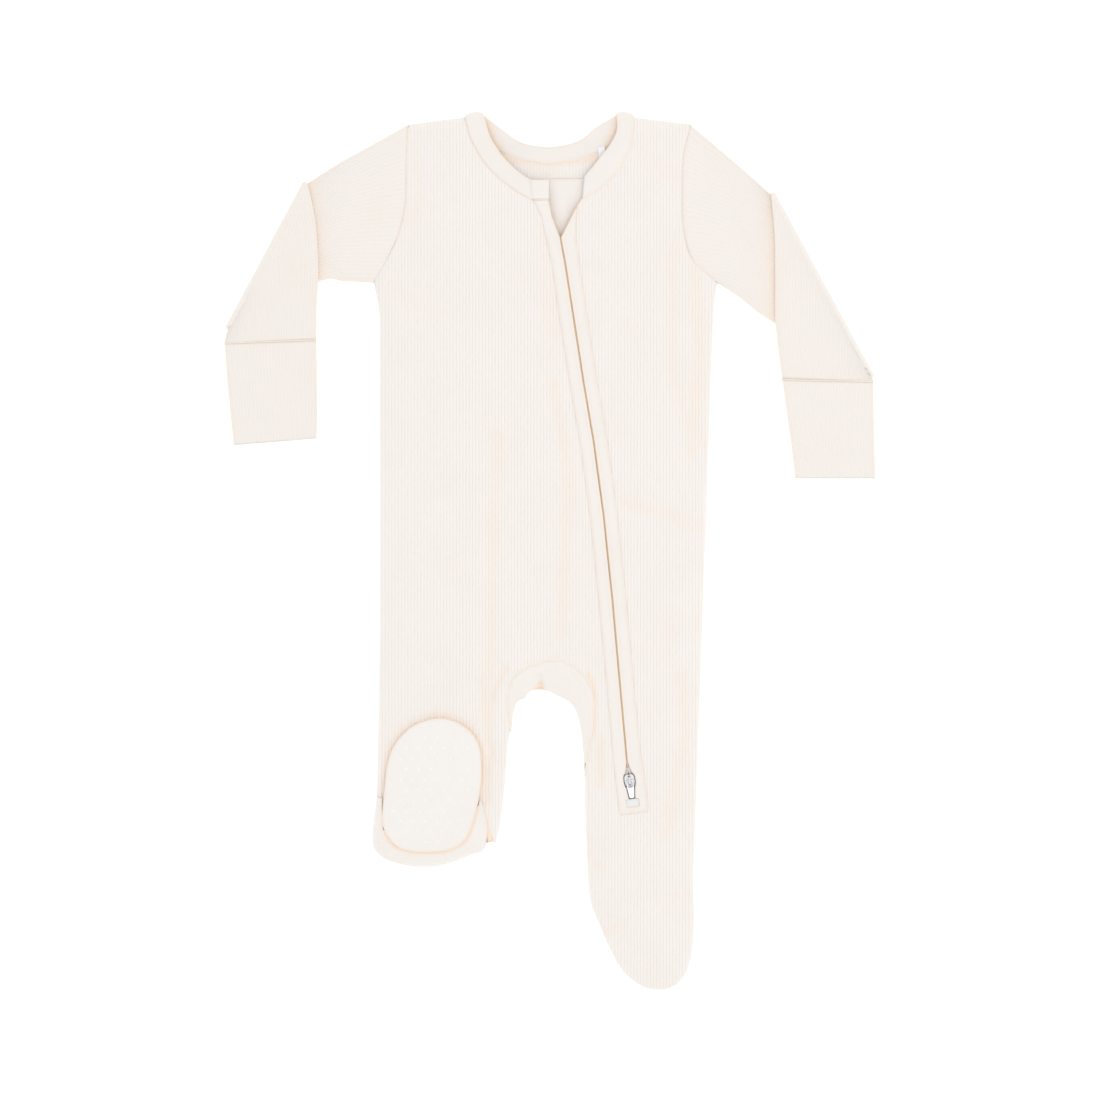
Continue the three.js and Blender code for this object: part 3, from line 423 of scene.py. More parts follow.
BACK_CREASES = [
    {"line": [(-60, 150), (-52, 70), (-56, -20)], "reach": 6, "lift": 0.4},
    {"line": [(46, 190), (54, 110), (48, 30)], "reach": 6, "lift": 0.45},
    {"line": [(-96, 30), (-60, 18), (-20, 22)], "reach": 5, "lift": 0.35},
    {"line": [(70, -60), (74, -120), (66, -170)], "reach": 5, "lift": 0.4},
    {"line": [(-90, -70), (-84, -120)], "reach": 5, "lift": 0.35},
    {"line": [(10, 236), (0, 190), (8, 140)], "reach": 7, "lift": 0.35},
]


def bell(away, reach):
    """1 at no distance, fading out at about twice the reach."""
    return np.exp(-((away / reach) ** 2))


def nearest_of(places, lines):
    """How far each place in plan is from the nearest of several lines."""
    return np.minimum.reduce([distance_to(places, line) for line in lines])


def from_crease(places, crease):
    line = crease["line"]
    return distance_to(places, rounded(line, CREASE_STEPS) if len(line) > 2 else line)


def crease_lift(places, creases):
    lift = np.zeros(len(places))
    for crease in creases:
        lift += crease["lift"] * bell(from_crease(places, crease), crease["reach"])
    return lift


def crease_shade(places, creases):
    """Shade in the bottom of the troughs."""
    shade = np.zeros(len(places))
    for crease in creases:
        if crease["lift"] < 0:
            deepest = crease.get("shade", -TROUGH_SHADE * crease["lift"])
            trough = bell(from_crease(places, crease), TROUGH_SHARE * crease["reach"])
            shade = np.maximum(shade, deepest * trough)
    return shade


def inward_from_seams(places):
    return nearest_of(places, SEWN_EDGES)


def front_under(places):
    """Height of the front's under face, without its creases."""
    x, y = places[:, 0], places[:, 1]
    press = np.where(x < PRESSED_SIDE, ease((PRESS_START - y) / PRESS_RUN), 0)
    loft = LOFT * (1 - (1 - PRESSED_LOFT) * press)
    return BACK_TOP + SEAM_GAP + ease(inward_from_seams(places) / LOFT_RUN) * loft


def front_creased(places):
    """Height of the front's under face with its creases, which fade out at the sewn edges."""
    inward = inward_from_seams(places)
    return front_under(places) + ease(inward / CREASE_FADE) * crease_lift(places, FRONT_CREASES)


def edge_roll(places, outline, radius):
    """How far a cut edge turns down, from its radius at the edge to nothing inside it."""
    return turned_down(distance_to(places, closed(outline)), radius, radius)


def turned_down(inward, reach, depth):
    share = 1 - np.clip(inward / reach, 0, 1)
    return depth * (1 - np.sqrt(1 - share**2))


def sewn_groove(places, lines, depth=0.55):
    """How far the cloth sinks into the seams that join it to its neighbours."""
    return depth * bell(nearest_of(places, lines), GROOVE_REACH)


def sewn_shade(places, lines, strength, reach=0.9):
    """Painted shade along lines: in the grooves along seams, round outlines, and beside edges that lie over
    the cloth.
    """
    return strength * bell(nearest_of(places, lines), reach)


def seam_shade(outline, reach, strength):
    """Shade round a piece's outline, as a function of the place."""
    return lambda plan: sewn_shade(plan, [closed(outline)], strength, reach)


def rib(phase):
    return np.interp(np.mod(phase, 1), (*RIB_PHASES, 1), RIB_HEIGHTS)


# Making meshes
def slice_along(bm, axis, places):
    """Cuts every face of a flat sheet at the given places along one axis, from low to high."""
    ahead = list(bm.faces)
    normal = Vector((1 - axis, axis, 0))
    for place in places:
        ahead = [f for f in ahead if max(v.co[axis] for v in f.verts) > place + 1e-4]
        crossed = [f for f in ahead if min(v.co[axis] for v in f.verts) < place - 1e-4]
        if not crossed:
            continue
        edges = {e for f in crossed for e in f.edges}
        corners = {v for f in crossed for v in f.verts}
        cut = bmesh.ops.bisect_plane(
            bm, geom=[*corners, *edges, *crossed], dist=1e-5, plane_co=normal * place, plane_no=normal
        )
        old = set(crossed)
        made = [g for g in cut["geom"] if isinstance(g, bmesh.types.BMFace)]
        ahead = [f for f in ahead if f not in old] + made


def cut_cloth(outline, columns, rows):
    """A flat sheet cut to its outline, with loops along its edge and lines of points both ways."""
    bm = bmesh.new()
    face = bm.faces.new([bm.verts.new((x, y, 0)) for x, y in outline])
    bmesh.ops.recalc_face_normals(bm, faces=[face])
    if face.normal.z < 0:
        face.normal_flip()
    last = 0
    for margin in EDGE_MARGINS:
        bmesh.ops.inset_region(
            bm, faces=[face], thickness=margin - last, use_boundary=True, use_even_offset=True
        )
        last = margin
    slice_along(bm, 0, columns)
    slice_along(bm, 1, rows)
    return bm


def rib_columns(outline, pitch=RIB_PITCH, phases=RIB_PHASES):
    x = np.asarray(outline, float)[:, 0]
    first, last = math.floor(x.min() / pitch), math.ceil(x.max() / pitch)
    return [(k + phase) * pitch for k in range(first, last + 1) for phase in phases]


def even_columns(outline, pitch):
    return rib_columns(outline, pitch, (0,))


def level_rows(outline, step):
    y = np.asarray(outline, float)[:, 1]
    return list(np.arange(y.min() + step / 2, y.max(), step))


def places_of(mesh):
    co = np.zeros(len(mesh.vertices) * 3)
    mesh.vertices.foreach_get("co", co)
    return co.reshape(-1, 3)


def give_places(mesh, co):
    mesh.vertices.foreach_set("co", np.asarray(co, float).ravel())
    mesh.update()


def give_knit(mesh, knit):
    """The place of each vertex in the knit: wales across and courses along, as a UV map."""
    corner = np.zeros(len(mesh.loops), int)
    mesh.loops.foreach_get("vertex_index", corner)
    layer = mesh.uv_layers.get("knit") or mesh.uv_layers.new(name="knit")
    layer.data.foreach_set("uv", np.asarray(knit, float)[corner].ravel())


# Stores painted shade per vertex as the shade attribute: warm shade on the cloth, dark reflections on the
# metal
def give_shade(mesh, shade):
    layer = mesh.attributes.new("shade", "FLOAT", "POINT")
    layer.data.foreach_set("value", np.clip(shade, 0, 1).astype(np.float32))


def piece(name, mesh, material, body="garment", stands_for=(), wall=0.0):
    """Places a finished mesh, in millimetres, in the part's frame as a piece that rides on a body."""
    give_places(mesh, (places_of(mesh) + PATTERN_SHIFT) * MM)
    mesh.polygons.foreach_set("use_smooth", np.ones(len(mesh.polygons), bool))
    mesh.materials.append(material)
    obj = bpy.data.objects.new(name, mesh)
    bpy.context.scene.collection.objects.link(obj)
    if wall:
        solidify = obj.modifiers.new("wall", "SOLIDIFY")
        solidify.thickness = wall * MM
        solidify.offset = -1
    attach(obj, body)
    if stands_for:
        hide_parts(*stands_for)
    return obj


def mesh_from(bm, name):
    mesh = bpy.data.meshes.new(name)
    bm.to_mesh(mesh)
    bm.free()
    return mesh


def rework(mesh, work):
    """Opens a mesh for editing, does the work given and puts it back."""
    bm = bmesh.new()
    bm.from_mesh(mesh)
    work(bm)
    bm.to_mesh(mesh)
    bm.free()


def join_seams(bm):
    """Joins meeting edges and turns the faces outwards."""
    bmesh.ops.remove_doubles(bm, verts=bm.verts, dist=1e-4)
    bmesh.ops.recalc_face_normals(bm, faces=bm.faces)


def fill_ends(bm):
    bmesh.ops.holes_fill(bm, edges=[e for e in bm.edges if e.is_boundary])


def close_mesh(mesh):
    """Joins a grid's meeting edges, fills its ends and turns its faces outwards."""

    def close(bm):
        bmesh.ops.remove_doubles(bm, verts=bm.verts, dist=1e-4)
        fill_ends(bm)
        bmesh.ops.recalc_face_normals(bm, faces=bm.faces)

    rework(mesh, close)


def grid_mesh(name, columns, rows):
    """A grid of faces, with the column and the row of each of its vertices."""
    bm = bmesh.new()
    bmesh.ops.create_grid(bm, x_segments=columns, y_segments=rows, size=1)
    mesh = mesh_from(bm, name)
    co = places_of(mesh)
    column = np.rint((co[:, 0] + 1) / 2 * columns).astype(int)
    row = np.rint((co[:, 1] + 1) / 2 * rows).astype(int)
    return mesh, column, row


def sheet_mesh(name, outline, columns, rows, height, knit_pitch, shade=None, face_down=False):
    """A sheet cut to its outline and raised to the height given."""
    bm = cut_cloth(outline, columns, rows)
    if face_down:
        bmesh.ops.reverse_faces(bm, faces=bm.faces)
    mesh = mesh_from(bm, name)
    co = places_of(mesh)
    plan = co[:, :2].copy()
    co[:, 2] = height(plan)
    give_knit(mesh, plan / knit_pitch)
    give_shade(mesh, shade(plan) if shade else np.zeros(len(plan)))
    give_places(mesh, co)
    return mesh


# Sleeves: a row for each section, with its shoulder edge, its underarm edge and its height.
# The elbow row is the crease, about which the forearm is turned back over the upper arm.
SLEEVE_RIGHT = {
    "armhole": ARMHOLE_RIGHT,
    "upper_arm": [
        {"shoulder": (-116, 264.2), "underarm": (-133, 175.3)},
        {"shoulder": (-138, 252), "underarm": (-152.5, 174.4)},
    ],
    "elbow": {"shoulder": (-157.6, 239.4), "underarm": (-208.8, 143.6)},
    "forearm": [
        {"shoulder": (-152.4, 214), "underarm": (-210.2, 141.8), "height": 4.8},
        {"shoulder": (-150.5, 182.3), "underarm": (-210.9, 139.2), "height": 4.8},
        {"shoulder": (-151.6, 158), "underarm": (-211.3, 137), "height": 4.7},
        {"shoulder": (-151.8, 137.4), "underarm": (-211.6, 135.2), "height": 4.5},
    ],
    "cuff": [
        {"shoulder": (-151.8, 137.1), "underarm": (-211.6, 134.9), "height": 4.5},
        {"shoulder": (-151.4, 113), "underarm": (-210.2, 113.2), "height": 2.6},
        {"shoulder": (-151.2, 92), "underarm": (-208.3, 92.6), "height": 1.6},
        {"shoulder": (-151.8, 73.2), "underarm": (-206, 68.8), "height": 1.35},
    ],
}
SLEEVE_LEFT = {
    "armhole": ARMHOLE_LEFT,
    "upper_arm": [
        {"shoulder": (112, 260), "underarm": (124, 164.4)},
        {"shoulder": (130, 244.5), "underarm": (145, 148.8)},
    ],
    "elbow": {"shoulder": (143.4, 232.4), "underarm": (208.8, 112)},
    "forearm": [
        {"shoulder": (145.8, 205), "underarm": (209.8, 111.6), "height": 4.8},
        {"shoulder": (146.2, 174.5), "underarm": (210, 111.2), "height": 4.8},
        {"shoulder": (146.6, 147.9), "underarm": (210.2, 110.8), "height": 4.7},
        {"shoulder": (150.9, 111.5), "underarm": (210.3, 110.3), "height": 4.5},
    ],
    "cuff": [
        {"shoulder": (151, 111.2), "underarm": (210.3, 110), "height": 4.5},
        {"shoulder": (154, 90), "underarm": (210.7, 89), "height": 2.6},
        {"shoulder": (157, 68), "underarm": (211.3, 68), "height": 1.6},
        {"shoulder": (159.6, 47.2), "underarm": (211.8, 47.2), "height": 1.35},
    ],
}
SLEEVE_CREASES = {
    "right": {
        "upper": [
            {"line": [(-110, 262), (-112, 235), (-118, 210)], "reach": 5, "lift": -0.5},
            {"line": [(-104, 200), (-112, 188), (-124, 180)], "reach": 4, "lift": -0.6},
            {"line": [(-150, 190), (-143, 182), (-138, 177)], "reach": 3, "lift": -0.5},
        ],
        "fore": [
            {"line": [(-163, 226), (-160, 200), (-163, 170)], "reach": 5, "lift": 0.4},
            {"line": [(-176, 200), (-180, 170), (-186, 150)], "reach": 6, "lift": -0.4},
            {"line": [(-200, 158), (-190, 146), (-172, 142)], "reach": 4, "lift": -0.4},
        ],
    },
    "left": {
        "upper": [
            {"line": [(100, 262), (96, 232), (100, 208)], "reach": 5, "lift": -0.5},
            {"line": [(96, 192), (112, 180), (126, 170)], "reach": 4, "lift": -0.5},
            {"line": [(120, 230), (132, 200), (138, 170)], "reach": 6, "lift": 0.4},
        ],
        "fore": [
            {"line": [(152, 206), (160, 170), (176, 140)], "reach": 5, "lift": -0.4},
            {"line": [(150, 180), (152, 150), (158, 125)], "reach": 4, "lift": 0.4},
            {"line": [(200, 128), (188, 118), (168, 120)], "reach": 4, "lift": -0.4},
        ],
    },
}

def with_edges(stops, width):
    """Shares across a pressed tube, with more of them at its two edges."""
    for near in EDGE_CLUSTER:
        stops |= {round(near / width, 6), round(1 - near / width, 6)}
    return np.array(sorted(stops))


def rib_stops(ribs, width):
    stops = {round((k + phase) / ribs, 6) for k in range(ribs) for phase in RIB_PHASES}
    return with_edges(stops | {1.0}, width)


def plain_stops(count, width):
    return with_edges({round(k / count, 6) for k in range(count + 1)}, width)


def straight_section(row, stops, height, turn=0.0, out=(0, 0)):
    """Middle points and facing of one straight section of a pressed tube."""
    a, b = np.array(row["shoulder"], float), np.array(row["underarm"], float)
    out = np.array(out, float)
    middle = a + stops[:, None] * (b - a) + out * ELBOW_RADIUS * math.sin(turn)
    facing = np.array([-out[0] * math.sin(turn), -out[1] * math.sin(turn), math.cos(turn)])
    return np.column_stack([middle, np.full(len(stops), height)]), facing


def finer(sections, steps):
    """More sections between the ones given, on smooth curves through them."""
    shares = np.linspace(0, 1, steps * (len(sections) - 1) + 1)
    middles = curve_at(np.array([s[0] for s in sections]), shares)
    facings = curve_at(np.array([s[1] for s in sections]), shares)
    return list(zip(middles, facings))


def sleeve_sections(table, stops):
    """Sections of a folded sleeve from its armhole to its cuff seam, and how many lie before the fold."""
    armhole = evenly_spaced(rounded(table["armhole"], 40), 200)
    first = np.column_stack([np.interp(stops * 200, np.arange(201), armhole[:, k]) for k in (0, 1)])
    first = np.column_stack([first, np.full(len(stops), TUBE_HALF)])
    elbow = table["elbow"]
    crease = np.subtract(elbow["underarm"], elbow["shoulder"])
    crease = crease / np.hypot(*crease)
    out = np.array([crease[1], -crease[0]])
    if out[0] * elbow["shoulder"][0] < 0:
        out = -out
    rows = [*table["upper_arm"], elbow]
    upper = [(first, np.array([0, 0, 1.0]))] + [straight_section(row, stops, TUBE_HALF) for row in rows]
    fold = []
    for degrees in range(15, 180, 15):
        turn = math.radians(degrees)
        height = TUBE_HALF + ELBOW_RADIUS * (1 - math.cos(turn))
        fold.append(straight_section(elbow, stops, height, turn, out))
    turned = [straight_section(elbow, stops, TUBE_HALF + 2 * ELBOW_RADIUS, math.pi)]
    turned += [straight_section(row, stops, row["height"], math.pi) for row in table["forearm"]]
    upper = finer(upper, 8)
    return upper + fold + finer(turned, 7), len(upper)


def pressed_tube(
    name, sections, stops, ribs, half, sewn_ends, knit_pitch=RIB_PITCH, lift=None, shaded=None
):
    """A tube pressed flat through its sections: across the upper face and back across the under one."""
    count, last = len(stops), len(sections) - 1
    around = 2 * (count - 1)
    mesh, j, i = grid_mesh(name, around, last)
    side = np.where(j < count, 1.0, -1.0)
    k = np.where(j < count, j, around - j)
    share = stops[k]
    middles = np.array([s[0] for s in sections])
    facings = np.array([s[1] for s in sections])
    facings /= np.linalg.norm(facings, axis=1, keepdims=True)
    widths = np.linalg.norm(middles[:, -1] - middles[:, 0], axis=1)
    inward = np.minimum(share, 1 - share) * widths[i]
    round_off = np.sqrt(1 - (1 - np.minimum(inward / half, 1)) ** 2)
    turned = np.where(side > 0, share, 2 - share)
    wales = turned * max(ribs, 1)
    relief = SLEEVE_RELIEF * rib(wales) if ribs else 0.0
    run = np.linalg.norm(np.diff(middles.mean(axis=1), axis=0), axis=1)
    along = np.concatenate([[0], np.cumsum(run)])
    ends = (along[i], along[-1] - along[i])
    from_seam = np.minimum(*[away + FAR_FROM_SEAM * (not sewn) for away, sewn in zip(ends, sewn_ends)])
    near_seam = bell(from_seam, PINCH_REACH)
    thick = half * (1 - PINCH_SHARE * near_seam) + relief * (1 - near_seam)
    offset = side * thick * round_off
    place = middles[i, k] + facings[i] * offset[:, None]
    # Painted shade near the sewn ends and along the pressed edges
    shade = 0.14 * bell(from_seam, 1.2) + 0.2 * bell(inward, 1.6)
    if lift is not None:
        place[:, 2] += lift(place, i, facings[i, 2] * side) * np.minimum(inward / 5, 1)
    if shaded is not None:
        shade = np.maximum(shade, shaded(place, i, side))
    place[:, 2] = np.maximum(place[:, 2], 0)
    give_places(mesh, place)
    across = wales if ribs else turned * round(widths.mean() / knit_pitch)
    give_knit(mesh, np.column_stack([across, along[i] / knit_pitch]))
    give_shade(mesh, shade)
    rework(mesh, join_seams)
    return mesh


# Materials
def linked(tree, kind, **settings):
    """A new node with its settings, and its inputs filled with values or linked to sockets."""
    node = tree.nodes.new(kind)
    for key, value in settings.items():
        if key == "ins":
            for name, given in value.items():
                if isinstance(given, bpy.types.NodeSocket):
                    tree.links.new(given, node.inputs[name])
                else:
                    node.inputs[name].default_value = given
        else:
            setattr(node, key, value)
    return node


def sums(tree, operation, a, b=0.0):
    return linked(tree, "ShaderNodeMath", operation=operation, ins={0: a, 1: b}).outputs[0]


def blended(tree, share, a, b):
    node = linked(tree, "ShaderNodeMix", data_type="RGBA", ins={0: share, 6: a, 7: b})
    return node.outputs[2]


def colour(r, g, b):
    return (r, g, b, 1)


def new_material(name):
    """A material with its node tree and its shader."""
    material = bpy.data.materials.new(name)
    material.use_nodes = True
    return material, material.node_tree, material.node_tree.nodes["Principled BSDF"]


def noise(tree, place, scale, detail):
    ins = {"Vector": place, "Scale": scale, "Detail": detail}
    return linked(tree, "ShaderNodeTexNoise", ins=ins).outputs[0]


def bumped(tree, shader, height, strength, distance):
    ins = {"Height": height, "Strength": strength, "Distance": distance}
    bump = linked(tree, "ShaderNodeBump", ins=ins)
    tree.links.new(bump.outputs[0], shader.inputs["Normal"])


def knit_material(name, base, groove_shade_share, stitch_depth):
    """A knitted cloth: wales and courses from the piece's own map, fuzz, random mottling, painted shade in
    the rib grooves, and painted warm shade where sewn, creased or under an edge.
    """
    material, tree, shader = new_material(name)
    shader.inputs["Roughness"].default_value = 0.92
    shader.inputs["Sheen Weight"].default_value = 0.25
    shader.inputs["Sheen Roughness"].default_value = 0.6
    shader.inputs["Specular IOR Level"].default_value = 0.2
    knit = linked(tree, "ShaderNodeUVMap", uv_map="knit").outputs[0]
    wale_and_course = linked(tree, "ShaderNodeSeparateXYZ", ins={0: knit})
    wale = sums(tree, "FRACT", wale_and_course.outputs[0])
    off_middle = sums(tree, "ABSOLUTE", sums(tree, "SUBTRACT", wale, 0.5))
    from_middle = sums(tree, "MULTIPLY", off_middle, 2.0)
    in_groove = sums(tree, "POWER", from_middle, 3.0)
    courses = sums(tree, "MULTIPLY", wale_and_course.outputs[1], COURSES)
    slanted = sums(tree, "ADD", courses, from_middle)
    loops = sums(tree, "SINE", sums(tree, "MULTIPLY", slanted, 2 * math.pi))
    place = linked(tree, "ShaderNodeTexCoord").outputs["Object"]
    fuzz = noise(tree, place, 1800.0, 3.0)
    mottle = noise(tree, place, 38.0, 2.0)
    # Painted shade: the rib grooves take a darker, warmer cream, as the shade in them looks; the same
    # colour also gives the random mottling
    shaded_and_mottled = blended(tree, sums(tree, "MULTIPLY", in_groove, groove_shade_share), base, CREAM_SHADE_AND_MOTTLE)
    uneven = sums(tree, "MULTIPLY", sums(tree, "SUBTRACT", mottle, 0.42), 0.5)
    shaded_and_mottled = blended(tree, uneven, shaded_and_mottled, CREAM_SHADE_AND_MOTTLE)
    # Painted warm shade: the shade attribute mixes in a peach colour in seams, crease troughs and beside
    # edges that lie over the cloth
    sewn = linked(tree, "ShaderNodeAttribute", attribute_name="shade").outputs["Fac"]
    tree.links.new(blended(tree, sewn, shaded_and_mottled, PAINTED_WARM_SHADE), shader.inputs["Base Color"])
    stitches = sums(tree, "MULTIPLY", loops, stitch_depth)
    relief = sums(tree, "ADD", stitches, sums(tree, "MULTIPLY", fuzz, 0.5))
    bumped(tree, shader, relief, 0.5, 0.00012)
    return material


def plain_material(name, base, roughness, metal=0.0, grain=900.0, edge=None):
    """A smooth material with a faint grain in its roughness and surface, and a painted dark reflection on
    walls and bevels if asked.
    """
    material, tree, shader = new_material(name)
    shader.inputs["Metallic"].default_value = metal
    place = linked(tree, "ShaderNodeTexCoord").outputs["Object"]
    grains = noise(tree, place, grain, 3.0)
    wide = noise(tree, place, grain / 12, 1.0)
    darker = tuple(0.86 * c for c in base[:3]) + (1,)
    uneven = blended(tree, sums(tree, "MULTIPLY", wide, 0.5), base, darker)
    if edge:
        painted_reflection = linked(tree, "ShaderNodeAttribute", attribute_name="shade").outputs["Fac"]
        uneven = blended(tree, painted_reflection, uneven, edge)
    tree.links.new(uneven, shader.inputs["Base Color"])
    rough = linked(tree, "ShaderNodeMapRange", ins={0: grains, 3: roughness * 0.8, 4: roughness * 1.25})
    tree.links.new(rough.outputs[0], shader.inputs["Roughness"])
    bumped(tree, shader, grains, 0.4, 0.00002)
    return material


COURSES = 2.0
CREAM = colour(0.93, 0.888, 0.853)
# Colour of the painted shade in the rib grooves, also used for the random mottling
CREAM_SHADE_AND_MOTTLE = colour(0.89, 0.8, 0.71)
# Colour of the painted warm shade
PAINTED_WARM_SHADE = colour(0.97, 0.74, 0.53)
RIB_KNIT = knit_material("cream_rib_knit", CREAM, 0.42, 0.5)
# The sleeves' and cuffs' cream is a darker copy of the body's: painted shade on the same cloth
SHADED_SLEEVE_KNIT = knit_material("cream_sleeve_knit", colour(0.905, 0.855, 0.81), 0.22, 0.4)
JERSEY = knit_material("cream_jersey", colour(0.93, 0.882, 0.843), 0.12, 0.4)
SOLE_JERSEY = knit_material("sole_jersey", colour(0.93, 0.895, 0.865), 0.12, 0.4)
# The tapes' cream is lighter than the cloth's: painted light that offsets the shade in the slit round the
# slider
TAPE_WEAVE_PAINTED_LIGHT = knit_material("tape_weave", colour(0.95, 0.92, 0.88), 0.1, 0.5)
THREAD = plain_material("cream_thread", colour(0.95, 0.9, 0.83), 0.7, grain=4000)
# A peach thread colour: painted warm shade for the cords along the heel's seam and in the fold at the leg's
# end
WARM_SHADE_SEAM = plain_material("warm_painted_shade_seam", colour(0.97, 0.8, 0.64), 0.8, grain=4000)
# A pale peach thread colour: painted warm shade along the cuff seams
CUFF_SHADE_SEAM = plain_material("cuff_seam", colour(0.96, 0.88, 0.79), 0.8, grain=4000)
# A greyer thread colour: painted cool shade along the right neckband seam
COOL_SHADE_SEAM = plain_material("cool_painted_shade_seam", colour(0.86, 0.8, 0.77), 0.8, grain=4000)
# The coil's orange is painted warm shade, standing in for the shade in the narrow slit between the facing's
# edges
COIL_WARM_SHADE = plain_material("zip_coil", colour(1.0, 0.76, 0.47), 0.5)
GRIP = plain_material("grip_dot", colour(0.95, 0.945, 0.955), 0.45)
# The edge colours are painted dark reflections on the metal's walls and bevels
NICKEL = plain_material(
    "polished_nickel", colour(0.8, 0.81, 0.84), 0.12, metal=1.0, edge=colour(0.34, 0.3, 0.29)
)
# The slider's nickel is a darker copy of the pull's: painted shade on the same metal
SHADED_SLIDER_NICKEL = plain_material(
    "slider_nickel", colour(0.55, 0.55, 0.57), 0.16, metal=1.0, edge=colour(0.3, 0.27, 0.26)
)
FILM = plain_material("pale_film", colour(0.87, 0.865, 0.87), 0.4)
LABEL = plain_material("white_satin", colour(0.93, 0.92, 0.95), 0.35, grain=3000)


# Outlines of the body's pieces
def by_slider(across, along):
    """A point given across and along the zip at its slider."""
    c, s = math.cos(SLIDER_TILT), math.sin(SLIDER_TILT)
    return (SLIDER_PLACE[0] + c * across - s * along, SLIDER_PLACE[1] + s * across + c * along)


def zip_side(offset):
    return [(row["zip"] + offset, row["y"]) for row in ZIP_ROWS]


def slit_line(slit=SLIT_HALF, window=WINDOW):
    """The slit from the neck down its right side, round the slider's window and up its left side."""
    round_slider = [by_slider(-half, along) for half, along in window]
    round_slider += [by_slider(half, along) for half, along in window[::-1]]
    return [*NECK_GAP_RIGHT, *zip_side(-slit), *round_slider, *zip_side(slit)[::-1], *NECK_GAP_LEFT]


def neck_edge(band):
    return [tuple(p) for p in rounded(band["outer"], BAND_STEPS)]


def armhole_edge(corners):
    return [tuple(p) for p in evenly_spaced(rounded(corners, 40), 22)]


def front_outline():
    leg_end = [
        (-35.4, -190.2), (-36.6, -189.6), (-39, -181), (-42, -171.5), (-48, -172), (-60, -186), (-90, -188),
        (-104, -182), (-109.8, -170),
    ]
    return [
        *neck_edge(BAND_FRONT_RIGHT)[::-1], *slit_line(), *neck_edge(BAND_FRONT_LEFT)[::-1],
        *armhole_edge(ARMHOLE_LEFT), *SIDE_LEFT[1:], *TOE_LEFT[1:], *INSEAM_LEFT[1:],
        *CROTCH_SEAM[1:-1], *INSEAM_RIGHT[:-1], *leg_end, *SIDE_RIGHT[::-1][:-1],
        *armhole_edge(ARMHOLE_RIGHT)[::-1],
    ]


def back_outline():
    return [
        *neck_edge(BAND_BACK), *armhole_edge(ARMHOLE_LEFT), *SIDE_LEFT[1:-1], (93.6, -204.4),
        (24.4, -204.4), *INSEAM_LEFT[1:], *LEG_GAP[1:], *INSEAM_RIGHT[1:-1], *HEEL_INWARD,
        *SIDE_RIGHT[::-1][1:-1], *armhole_edge(ARMHOLE_RIGHT)[::-1],
    ]


# Pieces
def front_piece():
    outline = front_outline()

    def height(plan):
        inward = nearest_of(plan, OUTER_EDGES)
        ribs = ease(distance_to(plan, closed(outline)) / 3) * RIB_RELIEF * rib(plan[:, 0] / RIB_PITCH)
        sunk = sewn_groove(plan, NECK_AND_CROTCH) + sewn_groove(plan, ARMHOLES, 0.25)
        return front_creased(plan) + CLOTH + ribs - turned_down(inward, *OUTER_TURN) - sunk

    # Painted shade in the seams and crease troughs, and a painted shadow on the front beside the turned-up
    # sole
    def shade(plan):
        sewn = sewn_shade(plan, NECK_AND_CROTCH, 0.22) + sewn_shade(plan, ARMHOLES, 0.1)
        return sewn + crease_shade(plan, FRONT_CREASES) + sewn_shade(plan, [closed(SOLE_LINE)], 0.5, 2.4)

    columns, rows = rib_columns(outline), level_rows(outline, FRONT_STEP)
    mesh = sheet_mesh("front_rib", outline, columns, rows, height, RIB_PITCH, shade)
    obj = piece("front_rib", mesh, RIB_KNIT, stands_for=["front"], wall=SHELL)


def back_piece():
    outline = back_outline()
    below_neck = [*outline[BAND_STEPS:], outline[0]]

    def height(plan):
        grooves = RIB_RELIEF * (1 - rib(plan[:, 0] / RIB_PITCH))
        rolled = turned_down(distance_to(plan, below_neck), *UNDER_TURN)
        return grooves * 0.8 + crease_lift(plan, BACK_CREASES) + rolled

    columns, rows = rib_columns(outline), level_rows(outline, BACK_STEP)
    shade = seam_shade(outline, 1.6, 0.6)
    mesh = sheet_mesh("back_rib", outline, columns, rows, height, RIB_PITCH, shade, face_down=True)
    obj = piece("back_rib", mesh, RIB_KNIT, stands_for=["back"], wall=SHELL)


def sleeve_piece(side, table):
    stops = rib_stops(SLEEVE_RIBS, SLEEVE_WIDTH)
    sections, before_fold = sleeve_sections(table, stops)
    creases = SLEEVE_CREASES[side]

    def lift(place, row, up):
        plan = place[:, :2]
        upper = crease_lift(plan, creases["upper"]) * (row < before_fold - 4)
        fore = crease_lift(plan, creases["fore"]) * (row > before_fold + 14)
        return np.where(up > 0.5, upper + fore, 0)

    # Painted shade on the upper arm beside the edge of the turned-back forearm
    fold_edge = [table["elbow"]["shoulder"], *[row["shoulder"] for row in table["forearm"]]]

    def under_fold(place, row, face):
        beside = bell(distance_to(place[:, :2], fold_edge), FOLD_SHADE_REACH)
        return 0.3 * beside * (row < before_fold) * (face > 0)

    name = f"sleeve_{side}_rib"
    mesh = pressed_tube(
        name, sections, stops, SLEEVE_RIBS, TUBE_HALF, (True, True), lift=lift, shaded=under_fold
    )
    obj = piece(name, mesh, SHADED_SLEEVE_KNIT, stands_for=[f"sleeve_{side}"], wall=SHELL)


def cuff_piece(side, table):
    stops = rib_stops(CUFF_RIBS, CUFF_WIDTH)
    rows = [straight_section(row, stops, row["height"], math.pi) for row in table["cuff"]]
    name = f"cuff_{side}_rib"
    mesh = pressed_tube(name, finer(rows, 8), stops, CUFF_RIBS, TUBE_HALF, (True, False))
    obj = piece(name, mesh, SHADED_SLEEVE_KNIT, stands_for=[f"cuff_{side}"], wall=SHELL)


